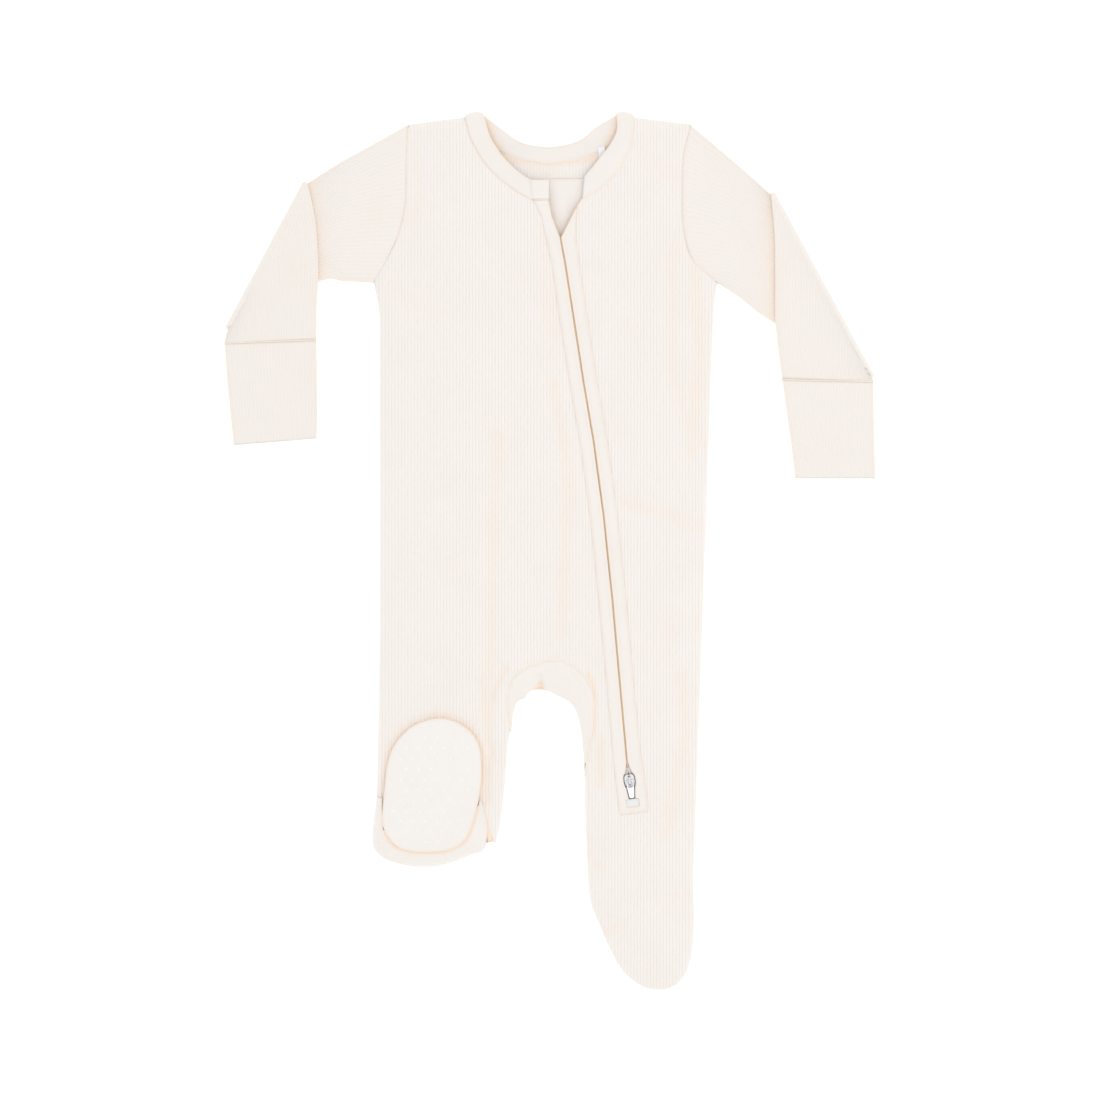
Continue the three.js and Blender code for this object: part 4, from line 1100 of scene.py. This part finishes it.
def band_sections(stops):
    """Sections of the neckband from the chin tab, over both shoulders, to the other zip edge."""
    sections = []
    radius = (BACK_TOP + SEAM_GAP) / 2

    def section(inner, outer, turn):
        inner, outer = np.array(inner, float), np.array(outer, float)
        plan = inner + stops[:, None] * (outer - inner)
        plan[:, 1] += BAND_HUMP * math.sin(turn) * 4 * stops * (1 - stops)
        front_level = front_under(plan) + CLOTH / 2 - 2 * radius
        level = front_level if turn == math.pi else np.full(len(stops), CLOTH / 2)
        out = radius * np.array([0, math.sin(turn), 1 - math.cos(turn)])
        facing = np.array([0, -math.sin(turn), math.cos(turn)])
        sections.append((np.column_stack([plan, level]) + out, facing))

    def stretch(band, turn, skip_first, skip_last):
        inner, outer = rounded(band["inner"], 2 * BAND_STEPS), rounded(band["outer"], 2 * BAND_STEPS)
        for k in range(skip_first, 2 * BAND_STEPS + 1 - skip_last):
            section(inner[k], outer[k], turn)

    def fold(band, index, turns):
        for degrees in turns:
            section(band["inner"][index], band["outer"][index], math.radians(degrees))

    stretch(BAND_FRONT_RIGHT, math.pi, 0, 1)
    fold(BAND_BACK, 0, (179, 158, 135, 112, 90, 68, 45, 22))
    stretch(BAND_BACK, 0, 0, 0)
    fold(BAND_BACK, -1, (22, 45, 68, 90, 112, 135, 158, 179))
    stretch(BAND_FRONT_LEFT, math.pi, 1, 0)
    return sections


def under_neck_edge(places):
    """Shade on the inside of the back beside the front's neckband."""
    return sewn_shade(places, FRONT_NECK_EDGES, 0.75, 2.6)


def neckband_piece():
    stops = plain_stops(8, 13)

    def shaded(place, row, face):
        return under_neck_edge(place[:, :2]) * (place[:, 2] < 2) * (face > 0)

    mesh = pressed_tube(
        "neckband_jersey", band_sections(stops), stops, 0, 0.75, (False, False), knit_pitch=JERSEY_PITCH,
        shaded=shaded,
    )
    rework(mesh, fill_ends)
    obj = piece("neckband_jersey", mesh, JERSEY, stands_for=["neckband"])


def small_sheet(
    name, node, outline, top, material, wall, step, roll=0.6, knit_pitch=JERSEY_PITCH
):
    """A small piece with rolled edges, at one level or at the level given for each place."""

    def height(plan):
        level = top(plan) if callable(top) else top
        return level - edge_roll(plan, outline, roll)

    columns, rows = even_columns(outline, step), level_rows(outline, step)
    mesh = sheet_mesh(name, outline, columns, rows, height, knit_pitch, seam_shade(outline, 0.8, 0.25))
    obj = piece(name, mesh, material, stands_for=[node], wall=wall)


def facing_piece():
    slit = slit_line(FACING_SLIT, FACING_WINDOW)[:-1]
    outer = [
        (17.9, 223.3), (16.9, 214.8), *[(row["right"], row["y"]) for row in ZIP_ROWS],
        *[by_slider(*place) for place in FACING_FOOT],
        *[(row["left"], row["y"]) for row in ZIP_ROWS[::-1]], (-5.5, 217.4), (-10.6, 228),
    ]
    outline = [*slit, *outer]

    def height(plan):
        at_outer = turned_down(distance_to(plan, [slit[-1], *outer, slit[0]]), *HEM_TURN)
        at_slit = turned_down(distance_to(plan, slit), *SLIT_TURN)
        return front_creased(plan) + CLOTH + RIB_RELIEF + FACING_RISE - np.maximum(at_outer, at_slit)

    columns, rows = even_columns(outline, 1.5), level_rows(outline, 3)
    shade = seam_shade(outline, 1.0, 0.2)
    mesh = sheet_mesh("zip_facing_jersey", outline, columns, rows, height, JERSEY_PITCH, shade)
    obj = piece(
        "zip_facing_jersey", mesh, JERSEY, stands_for=["zip_facing"], wall=FACING_WALL
    )


def in_wedge(places, corners):
    """From nothing outside a triangle to 1 well within it."""
    share = np.full(len(places), 9.0)
    for a, b in zip(corners, corners[1:] + corners[:1]):
        run = np.subtract(b, a) / math.dist(a, b)
        share = np.minimum(share, (places - a) @ np.array([-run[1], run[0]]))
    return ease(share / 0.9)


def gusset_piece():
    outline = [*CROTCH_SEAM[1:-1][::-1], *LEG_GAP[1:-1]]

    def height(plan):
        rolled = turned_down(distance_to(plan, LEG_GAP), *OUTER_TURN)
        soft = crease_lift(plan, GUSSET_CREASES) - 0.9 * in_wedge(plan, GUSSET_WEDGE)
        return front_under(plan) + CLOTH + soft - rolled - sewn_groove(plan, [CROTCH_SEAM])

    # Painted shade along the crotch seam, in the crease troughs and in the wedge-shaped dent
    def shade(plan):
        creased = sewn_shade(plan, [CROTCH_SEAM], 0.2) + crease_shade(plan, GUSSET_CREASES)
        return creased + 0.55 * in_wedge(plan, GUSSET_WEDGE)

    columns, rows = even_columns(outline, 1.1), level_rows(outline, 1.1)
    mesh = sheet_mesh("gusset_jersey", outline, columns, rows, height, JERSEY_PITCH, shade)
    obj = piece("gusset_jersey", mesh, JERSEY, stands_for=["crotch_gusset"], wall=SHELL)


def sole_top(places):
    inward = distance_to(places, closed(SOLE_LINE))
    soft = ease(inward / 6) * crease_lift(places, SOLE_CREASES)
    return SOLE_EDGE + CLOTH + SOLE_CROWN * ease(inward / SOLE_RUN) + soft


def sole_right_piece():
    outline = [tuple(p) for p in SOLE_LINE]

    def height(plan):
        return sole_top(plan) - turned_down(distance_to(plan, closed(outline)), *HEM_TURN)

    columns, rows = even_columns(outline, 1.6), level_rows(outline, 1.6)
    shade = seam_shade(outline, 0.9, 0.5)
    mesh = sheet_mesh("sole_right_jersey", outline, columns, rows, height, JERSEY_PITCH, shade)
    obj = piece(
        "sole_right_jersey", mesh, SOLE_JERSEY, stands_for=["sole_right"], wall=SHELL
    )


def sole_left_outline():
    return [(24.4, -204.9), (93.6, -204.9), *[tuple(p) for p in TOE_LEFT[1:-1]]]


def sole_left_piece():
    outline = sole_left_outline()

    def height(plan):
        return GRIP_HEIGHT + edge_roll(plan, outline, 0.85)

    columns, rows = even_columns(outline, 1.8), level_rows(outline, 1.8)
    shade = seam_shade(outline, 0.9, 0.5)
    mesh = sheet_mesh(
        "sole_left_jersey", outline, columns, rows, height, JERSEY_PITCH, shade, face_down=True
    )
    obj = piece("sole_left_jersey", mesh, SOLE_JERSEY, stands_for=["sole_left"], wall=0.8)


def grip_dots(name, outline, height, sign):
    """Raised dots in staggered rows over a sole, clear of its edge."""
    corners = np.asarray(outline, float)
    low, high = corners.min(axis=0), corners.max(axis=0)
    size = Matrix.Diagonal((GRIP_RADIUS, GRIP_RADIUS, GRIP_HEIGHT * 1.15, 1))
    places = []
    for index, y in enumerate(np.arange(low[1], high[1], GRIP_PITCH * 0.85)):
        for x in np.arange(low[0] + (index % 2) * GRIP_PITCH / 2, high[0], GRIP_PITCH):
            place = np.array([[x, y]])
            if inside(x, y, corners) and distance_to(place, closed(corners))[0] > GRIP_EDGE:
                sunk = height(place)[0] - sign * GRIP_HEIGHT * 0.18
                places.append(Matrix.Translation((x, y, sunk)) @ size)
    beads(name, places, GRIP, (12, 8))


def beads(name, places, material, segments):
    """One small round bead at each place, stretched and turned as its matrix says."""
    bm = bmesh.new()
    bmesh.ops.create_uvsphere(bm, u_segments=segments[0], v_segments=segments[1], radius=1)
    bead = mesh_from(bm, f"{name}_bead")
    bm = bmesh.new()
    for _ in places:
        bm.from_mesh(bead)
    mesh = mesh_from(bm, name)
    bpy.data.meshes.remove(bead)
    matrices = np.array([[list(row) for row in place] for place in places])
    co = places_of(mesh).reshape(len(places), -1, 3)
    placed = np.einsum("kij,kvj->kvi", matrices[:, :3, :3], co) + matrices[:, None, :3, 3]
    give_places(mesh, placed.reshape(-1, 3))
    return piece(name, mesh, material)


def spaced_by(line, step, least):
    """Points along a line, at even distances near the step given."""
    line = np.asarray(line, float)
    run = float(np.hypot(*np.diff(line, axis=0).T).sum())
    return evenly_spaced(line, max(int(run / step), least))


def cord_along(name, lines, height, radius, material, around=8):
    """A thin round cord laid along each line in plan, at the height given there."""
    bm = bmesh.new()
    for line in lines:
        points = spaced_by(line, CORD_STEP, 4)
        levels = height(points)
        ahead = np.gradient(points, axis=0)
        across = np.column_stack([ahead[:, 1], -ahead[:, 0]]) / np.hypot(*ahead.T)[:, None]
        strip, j, i = grid_mesh(f"{name}_strip", around, len(points) - 1)
        turn = 2 * math.pi * j / around
        plan = points[i] + across[i] * (radius * np.cos(turn))[:, None]
        give_places(strip, np.column_stack([plan, levels[i] + radius * np.sin(turn)]))
        close_mesh(strip)
        bm.from_mesh(strip)
        bpy.data.meshes.remove(strip)
    return piece(name, mesh_from(bm, name), material)


def inside(x, y, corners):
    """Whether a point in plan lies within an outline."""
    a, b = corners, np.roll(corners, -1, axis=0)
    spans = (a[:, 1] > y) != (b[:, 1] > y)
    with np.errstate(divide="ignore", invalid="ignore"):
        cross = a[:, 0] + (y - a[:, 1]) / (b[:, 1] - a[:, 1]) * (b[:, 0] - a[:, 0])
    return bool(np.count_nonzero(spans & (cross > x)) % 2)


def foot_upper_piece():
    name = "foot_upper_right_rib"
    line = closed(SOLE_LINE)
    ahead = np.roll(SOLE_LINE, -1, axis=0) - np.roll(SOLE_LINE, 1, axis=0)
    ahead = closed(ahead / np.hypot(*ahead.T)[:, None])
    outward = np.column_stack([-ahead[:, 1], ahead[:, 0]])
    if (outward[0] @ (line[0] - line.mean(axis=0))) < 0:
        outward = -outward
    steps = curve_at([(row["out"], row["height"]) for row in FOOT_SIDE], np.linspace(0, 1, 22))
    mesh, j, i = grid_mesh(name, len(line) - 1, len(steps) - 1)
    plan = line[j] + outward[j] * steps[i, 0][:, None]
    give_places(mesh, np.column_stack([plan, steps[i, 1]]))
    give_knit(mesh, np.column_stack([j * 1.0, i * 0.5]))
    # Painted shade along the top of the foot's side, under the rim of the sole
    give_shade(mesh, 0.35 * bell(steps[i, 1] - 6.9, 0.5))
    close_mesh(mesh)
    obj = piece(name, mesh, JERSEY, stands_for=["foot_upper_right"])


def heel_piece():
    name = "heel_right_jersey"
    table = np.array([
        [*row["outer"], *row["inner"], row["base"], row.get("top", HEEL_TOP)] for row in HEEL_ROWS
    ])
    rows = curve_at(table, np.linspace(0, 1, HEEL_COLUMNS + 1))
    swings = np.concatenate([np.zeros(len(HEEL_UNDER)), np.linspace(0, math.pi / 2, HEEL_STEPS)])
    under = np.concatenate([HEEL_UNDER, np.zeros(HEEL_STEPS)])
    mesh, j, i = grid_mesh(name, len(rows) - 1, len(swings) - 1)
    outer, inner, base, top = rows[j, 0:2], rows[j, 2:4], rows[j, 4], rows[j, 5]
    reach = np.cos(swings[i])[:, None]
    across = (inner - outer) / np.linalg.norm(inner - outer, axis=1)[:, None]
    plan = inner + (outer - inner) * reach + across * under[i][:, None]
    from_top = math.pi / 2 - swings[i]
    pucker = 0.3 * np.sin(j * 1.7) * bell((j % 40) - 22, 9.0) * np.sin(2 * swings[i])
    level = base + (top - base) * np.sin(swings[i]) + pucker - 0.5 * bell(from_top, 0.16)
    give_places(mesh, np.column_stack([plan, level]))
    give_knit(mesh, np.column_stack([j * 1.6, i * 1.1]))
    # Painted shade along the heel's top edge, beside the sole
    give_shade(mesh, 0.45 * bell(from_top, 0.14))
    rework(mesh, face_outwards)
    obj = piece(name, mesh, JERSEY, stands_for=["heel_right"], wall=SHELL)


def face_outwards(bm):
    """Turns the heel's faces one way, with its top upwards."""
    bmesh.ops.recalc_face_normals(bm, faces=bm.faces)
    high = [f for f in bm.faces if f.calc_center_median().z > HEEL_TOP - 0.8]
    if sum(f.normal.z * f.calc_area() for f in high) < 0:
        bmesh.ops.reverse_faces(bm, faces=bm.faces)


def tape_level(places):
    """Level of the tapes, which rise between the facing's edges just above the slider."""
    away = np.hypot(*(places - by_slider(0, 7.8)).T)
    return TAPE_TOP + 2.3 * bell(away, 2.3)


def guard_level(places):
    """Level of the guard, which swells up a little in the open neck."""
    x, y = places.T
    return GUARD_TOP + 2.0 * bell(x - 8, 6) * bell(y - 226, 12)


def zip_pieces():
    guard = [
        (-15, 241.6), (22.6, 242.4), (27, 216), *zip_side(13)[:-1], (62.9, -132), (36.9, -132),
        *zip_side(-13)[:-1][::-1], (-13, 216),
    ]
    small_sheet(
        "zip_guard_jersey", "zip_guard", guard, guard_level, JERSEY,
        wall=0.9, step=2.5,
    )
    for side, name, gap in ((-1, "right", NECK_GAP_RIGHT), (1, "left", NECK_GAP_LEFT[::-1])):
        inner = [(x + side * 0.3, y) for x, y in gap] + zip_side(side * 0.5)
        inner += [by_slider(side * across, along) for across, along in TAPE_FOOT]
        outer = [(x + side * TAPE_WIDTH, y) for x, y in inner]
        small_sheet(
            f"zip_tape_{name}_weave", f"zip_tape_{name}", [*inner, *outer[::-1]], tape_level, TAPE_WEAVE_PAINTED_LIGHT,
            wall=0.9, step=1.5, roll=0.15, knit_pitch=0.6,
        )
        zip_coil(name, side, gap)
    film = [by_slider(-4.8, -11.9), by_slider(4.8, -11.9), by_slider(4.8, -17.8), by_slider(-4.8, -17.8)]
    small_sheet(
        "zip_film_strip", "zip_film", film, TAPE_TOP + FILM_RISE, FILM,
        wall=0.5, step=1.1, roll=0.2,
    )
    tab = [(-12.7, 241.4), (-0.4, 241.4), (-0.4, 228.7), (-11.1, 228.7)]
    small_sheet(
        "chin_tab_jersey", "chin_tab", tab, CHIN_TAB_TOP, JERSEY,
        wall=1.5, step=0.9, roll=0.9,
    )
    label = [(30.6, 262.6), (35.6, 264.2), (37.6, 255), (32.4, 253.6)]
    small_sheet(
        "care_label_satin", "care_label", label, LABEL_TOP, LABEL,
        wall=0.4, step=0.8, roll=0.2,
    )


def zip_coil(name, side, gap):
    """The row of nylon turns along one edge of the slit and of the open neck above it."""
    beside_gap = [(x - side * 0.35, y) for x, y in gap]
    beside_slit = [(x + side * 0.17, y) for x, y in zip_side(0) + [by_slider(0, 11)]]
    points = evenly_spaced([*beside_gap, *rounded(beside_slit, 200)], COIL_TURNS)
    levels = front_creased(points) + CLOTH + COIL_RISE
    turn = Matrix.Rotation(math.radians(10 + 12 * side), 4, "Z") @ Matrix.Diagonal((*COIL_HALF, 1))
    places = [Matrix.Translation((x, y, z)) @ turn for (x, y), z in zip(points, levels)]
    # The coil beads take the painted warm shade colour
    beads(f"zip_coil_{name}", places, COIL_WARM_SHADE, (8, 6))


def swept(bm, face, way):
    """Sweeps a face along one axis, and returns the edges round its two ends."""
    raised = bmesh.ops.extrude_face_region(bm, geom=[face])
    far = [g for g in raised["geom"] if isinstance(g, bmesh.types.BMVert)]
    bmesh.ops.translate(bm, vec=way, verts=far)
    near = set(far) | set(face.verts)
    axis = [abs(part) for part in way].index(max(abs(part) for part in way))

    def level(edge):
        a, b = edge.verts
        return a in near and b in near and abs(a.co[axis] - b.co[axis]) < 1e-6

    return [e for e in bm.edges if level(e)]


def bevelled(bm, rims, offset, segments):
    bmesh.ops.bevel(
        bm, geom=rims, offset=offset, segments=segments, profile=0.5, affect="EDGES", material=-1
    )


def plate(bm, outline, low, high, bevel):
    """A flat plate from its outline, with bevelled edges."""
    face = bm.faces.new([bm.verts.new((x, y, low)) for x, y in outline])
    if face.normal.z > 0:
        face.normal_flip()
    bevelled(bm, swept(bm, face, (0, 0, high - low)), bevel, 3)


def paint_side_reflections(mesh):
    """Paints a dark reflection, through the shade attribute, on the walls and bevels of a small metal
    piece, which then stay darker than its flat faces.
    """
    normals = np.zeros(len(mesh.vertices) * 3)
    mesh.vertex_normals.foreach_get("vector", normals)
    upright = np.abs(normals.reshape(-1, 3)[:, 2])
    give_shade(mesh, np.clip((0.97 - upright) / 0.35, 0, 1))


def at_slider(mesh, height):
    turn = Matrix.Translation((*SLIDER_PLACE, height)) @ Matrix.Rotation(SLIDER_TILT, 4, "Z")
    mesh.transform(turn)


def slider_piece():
    wide, tip = SLIDER["half_wide"], SLIDER["tip"]
    corners = [
        (-wide * 0.62, -tip), (0, -tip), (wide * 0.62, -tip), (wide * 0.92, -tip * 0.55), (wide, tip * 0.2),
        (wide * 0.86, tip * 0.75), (wide * 0.45, tip), (0, tip * 0.93), (-wide * 0.45, tip),
        (-wide * 0.86, tip * 0.75), (-wide, tip * 0.2), (-wide * 0.92, -tip * 0.55),
    ]
    outline = [tuple(p) for p in ring_line(corners, 48)]
    bm = bmesh.new()
    upper = TAPE_TOP + SEAM_GAP
    plate(bm, outline, upper, upper + SLIDER["plate"], 0.38)
    plate(bm, outline, LOWER_PLATE_TOP - SLIDER["plate"], LOWER_PLATE_TOP, 0.25)
    post = bmesh.ops.create_cube(bm, size=1)
    post_place = Matrix.Translation((0, 2.4, 3.3)) @ Matrix.Diagonal((1.2, 2.4, 2.0, 1))
    bmesh.ops.transform(bm, matrix=post_place, verts=post["verts"])
    arch(bm, upper + SLIDER["plate"] - 0.2, PIVOT_HEIGHT + PULL["bar"] + SEAM_GAP)
    bmesh.ops.recalc_face_normals(bm, faces=bm.faces)
    mesh = mesh_from(bm, "zip_slider_nickel")
    paint_side_reflections(mesh)
    at_slider(mesh, 0)
    obj = piece("zip_slider_nickel", mesh, SHADED_SLIDER_NICKEL, stands_for=["zip_slider"])
    crisp(obj)


def arch(bm, foot, under):
    """The bridge over the pull's bar: an arch along the zip, swept across it and bevelled."""
    reach, thick, half = SLIDER["bridge_reach"], SLIDER["bridge_thick"], SLIDER["bridge_half"]
    rise = [
        (-reach, foot), (-reach, under - 0.4), (-reach + 0.35, under + thick * 0.6),
        (-reach + 1.2, under + thick),
    ]
    outer = rise + [(-y, z) for y, z in rise[::-1]]
    lift = [(-reach + thick, foot), (-reach + thick, under - 0.6), (-reach + thick + 0.5, under)]
    inner = lift + [(-y, z) for y, z in lift[::-1]]
    face = bm.faces.new([bm.verts.new((-half, y, z)) for y, z in outer + inner[::-1]])
    bevelled(bm, swept(bm, face, (2 * half, 0, 0)), 0.2, 2)


def pull_piece():
    """The pull tab: a plate with an opening, whose end bar lies under the bridge."""
    arm, length = PULL["arm"], PULL["length"]
    side = [
        (arm * 0.9, PULL["bar"]), (arm, PULL["bar"] * 0.4), (arm, -1.5), (arm, -3), (arm, -4.2),
        (arm, -PULL["shoulder"]), (arm * 0.93, -6.5), (arm * 0.86, -8), (arm * 0.8, -length + 2),
        (arm * 0.72, -length + 0.9), (arm * 0.5, -length + 0.2),
    ]
    outer = [(0, PULL["bar"]), *side, (0, -length), *[(-x, y) for x, y in side[::-1]]]
    half, low, high = PULL["opening"], -PULL["opening_end"], -PULL["bar"]
    right = [(half, high + (low - high) * t) for t in np.linspace(0.04, 0.96, 7)]
    inner_side = [(half * 0.5, high), (half * 0.92, high), *right, (half * 0.92, low), (half * 0.5, low)]
    inner = [(0, high), *inner_side, (0, low), *[(-x, y) for x, y in inner_side[::-1]]]
    bm = bmesh.new()
    loops = []
    for line in (outer, inner):
        ring = [bm.verts.new((x, y, -PULL["half"])) for x, y in line]
        loops += [bm.edges.new((ring[k - 1], ring[k])) for k in range(len(ring))]
    flat = bmesh.ops.bridge_loops(bm, edges=loops)
    raised = bmesh.ops.extrude_face_region(bm, geom=flat["faces"])
    tops = [g for g in raised["geom"] if isinstance(g, bmesh.types.BMVert)]
    bmesh.ops.translate(bm, vec=(0, 0, 2 * PULL["half"]), verts=tops)
    bmesh.ops.recalc_face_normals(bm, faces=bm.faces)
    rims = [e for e in bm.edges if len(e.link_faces) == 2 and e.calc_face_angle() > 0.9]
    bevelled(bm, rims, 0.3, 3)
    mesh = mesh_from(bm, "zip_pull_nickel")
    paint_side_reflections(mesh)
    at_slider(mesh, PIVOT_HEIGHT)
    obj = piece("zip_pull_nickel", mesh, NICKEL, body="pull_tab", stands_for=["zip_pull"])
    crisp(obj)


def crisp(obj):
    """Keeps a metal piece's flat faces flat beside its rounded edges."""
    weighted = obj.modifiers.new("crisp", "WEIGHTED_NORMAL")
    weighted.keep_sharp = True


def topstitch(name, lines, height):
    """Rows of short stitches lying on the cloth along the lines given."""
    size = Matrix.Diagonal((STITCH["length"] / 2, STITCH["radius"], STITCH["radius"], 1))
    places = []
    for line in lines:
        points = spaced_by(line, STITCH["length"] + STITCH["gap"], 1)
        ends = [Vector(end) for end in np.column_stack([points, height(points)])]
        for a, b in zip(ends[:-1], ends[1:]):
            lean = (b - a).to_track_quat("X", "Z").to_matrix().to_4x4()
            places.append(Matrix.Translation(a.lerp(b, 0.5)) @ lean @ size)
    beads(name, places, THREAD, (6, 6))


def over_front(rise):
    return lambda plan: front_creased(plan) + CLOTH + rise


def level_at(height):
    return lambda plan: np.full(len(plan), height)


def stitching():
    left = [(row["left"] + 1.1, row["y"]) for row in ZIP_ROWS]
    left += [by_slider(-8.2, -4), by_slider(-8.2, -19)]
    right = [(row["right"] - 1.1, row["y"]) for row in ZIP_ROWS]
    right += [by_slider(8.9, -4), by_slider(8.5, -19.5)]
    foot = [by_slider(-7.4, -20.2), by_slider(7.9, -20.2)]
    inner = [rounded(zip_side(offset), 40) for offset in (-2.6, 2.6)]
    lines = [rounded(left, 40), rounded(right, 40), foot, *inner]
    topstitch("facing_stitches", lines, over_front(RIB_RELIEF + STITCH_RISE))


def seams():
    """The turned-in edges and threads that show in the grooves between sewn pieces; some of their cords
    take painted shade colours.
    """
    sunk, underside = over_front(-THREAD_SINK), level_at(UNDER_THREAD)
    armholes = [rounded(line, 40)[1:-1] for line in ARMHOLES]
    # The right neckband seam's cord takes the painted cool shade colour
    cord_along("neck_seam_right", [NECK_SEAMS[0]], sunk, THREAD_RADIUS, COOL_SHADE_SEAM)
    cord_along("neck_seam_left", [NECK_SEAMS[2]], sunk, THREAD_RADIUS, THREAD)
    cord_along("neck_seam_back", [NECK_SEAMS[1]], underside, THREAD_RADIUS, THREAD)
    cord_along("armhole_seams", armholes, over_front(-ARMHOLE_SINK), THREAD_RADIUS, THREAD)
    cord_along("armhole_seams_under", armholes, underside, THREAD_RADIUS, THREAD)
    cord_along("gusset_seam", [CROTCH_SEAM], sunk, 0.45, THREAD)
    cuff_top, cuff_under = level_at(CUFF_LEVEL + TUBE_HALF - 0.35), level_at(CUFF_LEVEL - TUBE_HALF + 0.6)
    for side, table in (("right", SLEEVE_RIGHT), ("left", SLEEVE_LEFT)):
        rows = (table["cuff"][0], table["forearm"][-1])
        ends = [np.mean([row[edge] for row in rows], axis=0) for edge in ("shoulder", "underarm")]
        # The cuff seams' cords take the painted warm shade colour
        cord_along(f"cuff_seam_{side}", [ends], cuff_top, 0.42, CUFF_SHADE_SEAM)
        cord_along(f"cuff_seam_under_{side}", [ends], cuff_under, 0.42, CUFF_SHADE_SEAM)
    # The heel seam's and the leg end's cords are coloured with painted warm shade beside the turned-up sole
    heel_line = rounded([row["inner"] for row in HEEL_ROWS[2:-1]], 60)
    cord_along("heel_seam", [heel_line], level_at(HEEL_TOP - 0.85), 0.55, WARM_SHADE_SEAM)
    heel_under = rounded(HEEL_INWARD[1:], 60)
    cord_along("heel_seam_under", [heel_under], level_at(0.85), 0.6, THREAD)
    cord_along("leg_end_seam", [LEG_END_FOLD], level_at(2.2), 1.95, WARM_SHADE_SEAM, around=16)
    sole_edge = [(24.8, -204.65), (93.2, -204.65)]
    cord_along("sole_left_seam", [sole_edge], level_at(0.8), THREAD_RADIUS, THREAD)
    tab_edge = [(-12.8, 241.6), (-11.1, 228.9), (-10.9, 228.5), (-0.5, 228.5)]
    cord_along("chin_tab_seam", [tab_edge], level_at(5.3), 0.4, THREAD)


def main():
    front_piece()
    back_piece()
    for side, table in (("right", SLEEVE_RIGHT), ("left", SLEEVE_LEFT)):
        sleeve_piece(side, table)
        cuff_piece(side, table)
    neckband_piece()
    facing_piece()
    gusset_piece()
    zip_pieces()
    slider_piece()
    pull_piece()
    sole_right_piece()
    foot_upper_piece()
    heel_piece()
    sole_left_piece()
    grip_dots("grips_right", SOLE_LINE, sole_top, 1)
    grip_dots("grips_left", sole_left_outline(), lambda place: np.full(len(place), GRIP_HEIGHT), -1)
    stitching()
    seams()


# Floor, lights and camera
def stage_scene():
    bpy.ops.mesh.primitive_plane_add(size=FLOOR_SIZE, location=(0, 0, -FLOOR_DROP))
    floor = bpy.context.object
    floor.name = "floor"
    material, _, shader = new_material("white_floor")
    shader.inputs["Base Color"].default_value = colour(0.95, 0.95, 0.95)
    shader.inputs["Roughness"].default_value = 0.9
    shader.inputs["Emission Color"].default_value = colour(1, 1, 1)
    shader.inputs["Emission Strength"].default_value = FLOOR_GLOW
    floor.data.materials.append(material)
    floor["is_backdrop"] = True

    world = bpy.data.worlds.new("soft_studio")
    world.use_nodes = True
    world.node_tree.nodes["Background"].inputs["Color"].default_value = colour(1, 1, 1)
    world.node_tree.nodes["Background"].inputs["Strength"].default_value = SKY_STRENGTH
    bpy.context.scene.world = world

    light = bpy.data.lights.new("window", "AREA")
    light.size = LAMP_SIZE
    light.energy = LAMP_ENERGY
    lamp = bpy.data.objects.new("window", light)
    lamp.location = LAMP_PLACE
    lamp.rotation_euler = (-Vector(lamp.location)).to_track_quat("-Z", "Y").to_euler()
    bpy.context.scene.collection.objects.link(lamp)

    camera = bpy.data.cameras.new("overhead")
    camera.sensor_width = SENSOR
    camera.lens = SENSOR * (CAMERA_HEIGHT - CLOTH_MIDDLE) / PICTURE_WIDTH
    camera.clip_end = 20
    eye = bpy.data.objects.new("overhead", camera)
    centre = (np.array([*PICTURE_CENTRE, 0]) + PATTERN_SHIFT) * MM
    eye.location = (centre[0], centre[1], CAMERA_HEIGHT)
    bpy.context.scene.collection.objects.link(eye)
    bpy.context.scene.camera = eye
    bpy.context.scene.view_settings.view_transform = "Standard"


stage_scene()
main()

boxes = {"cad": CAD_BOX, "visual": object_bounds()}
{name: [list(corner) for corner in box] for name, box in boxes.items()}
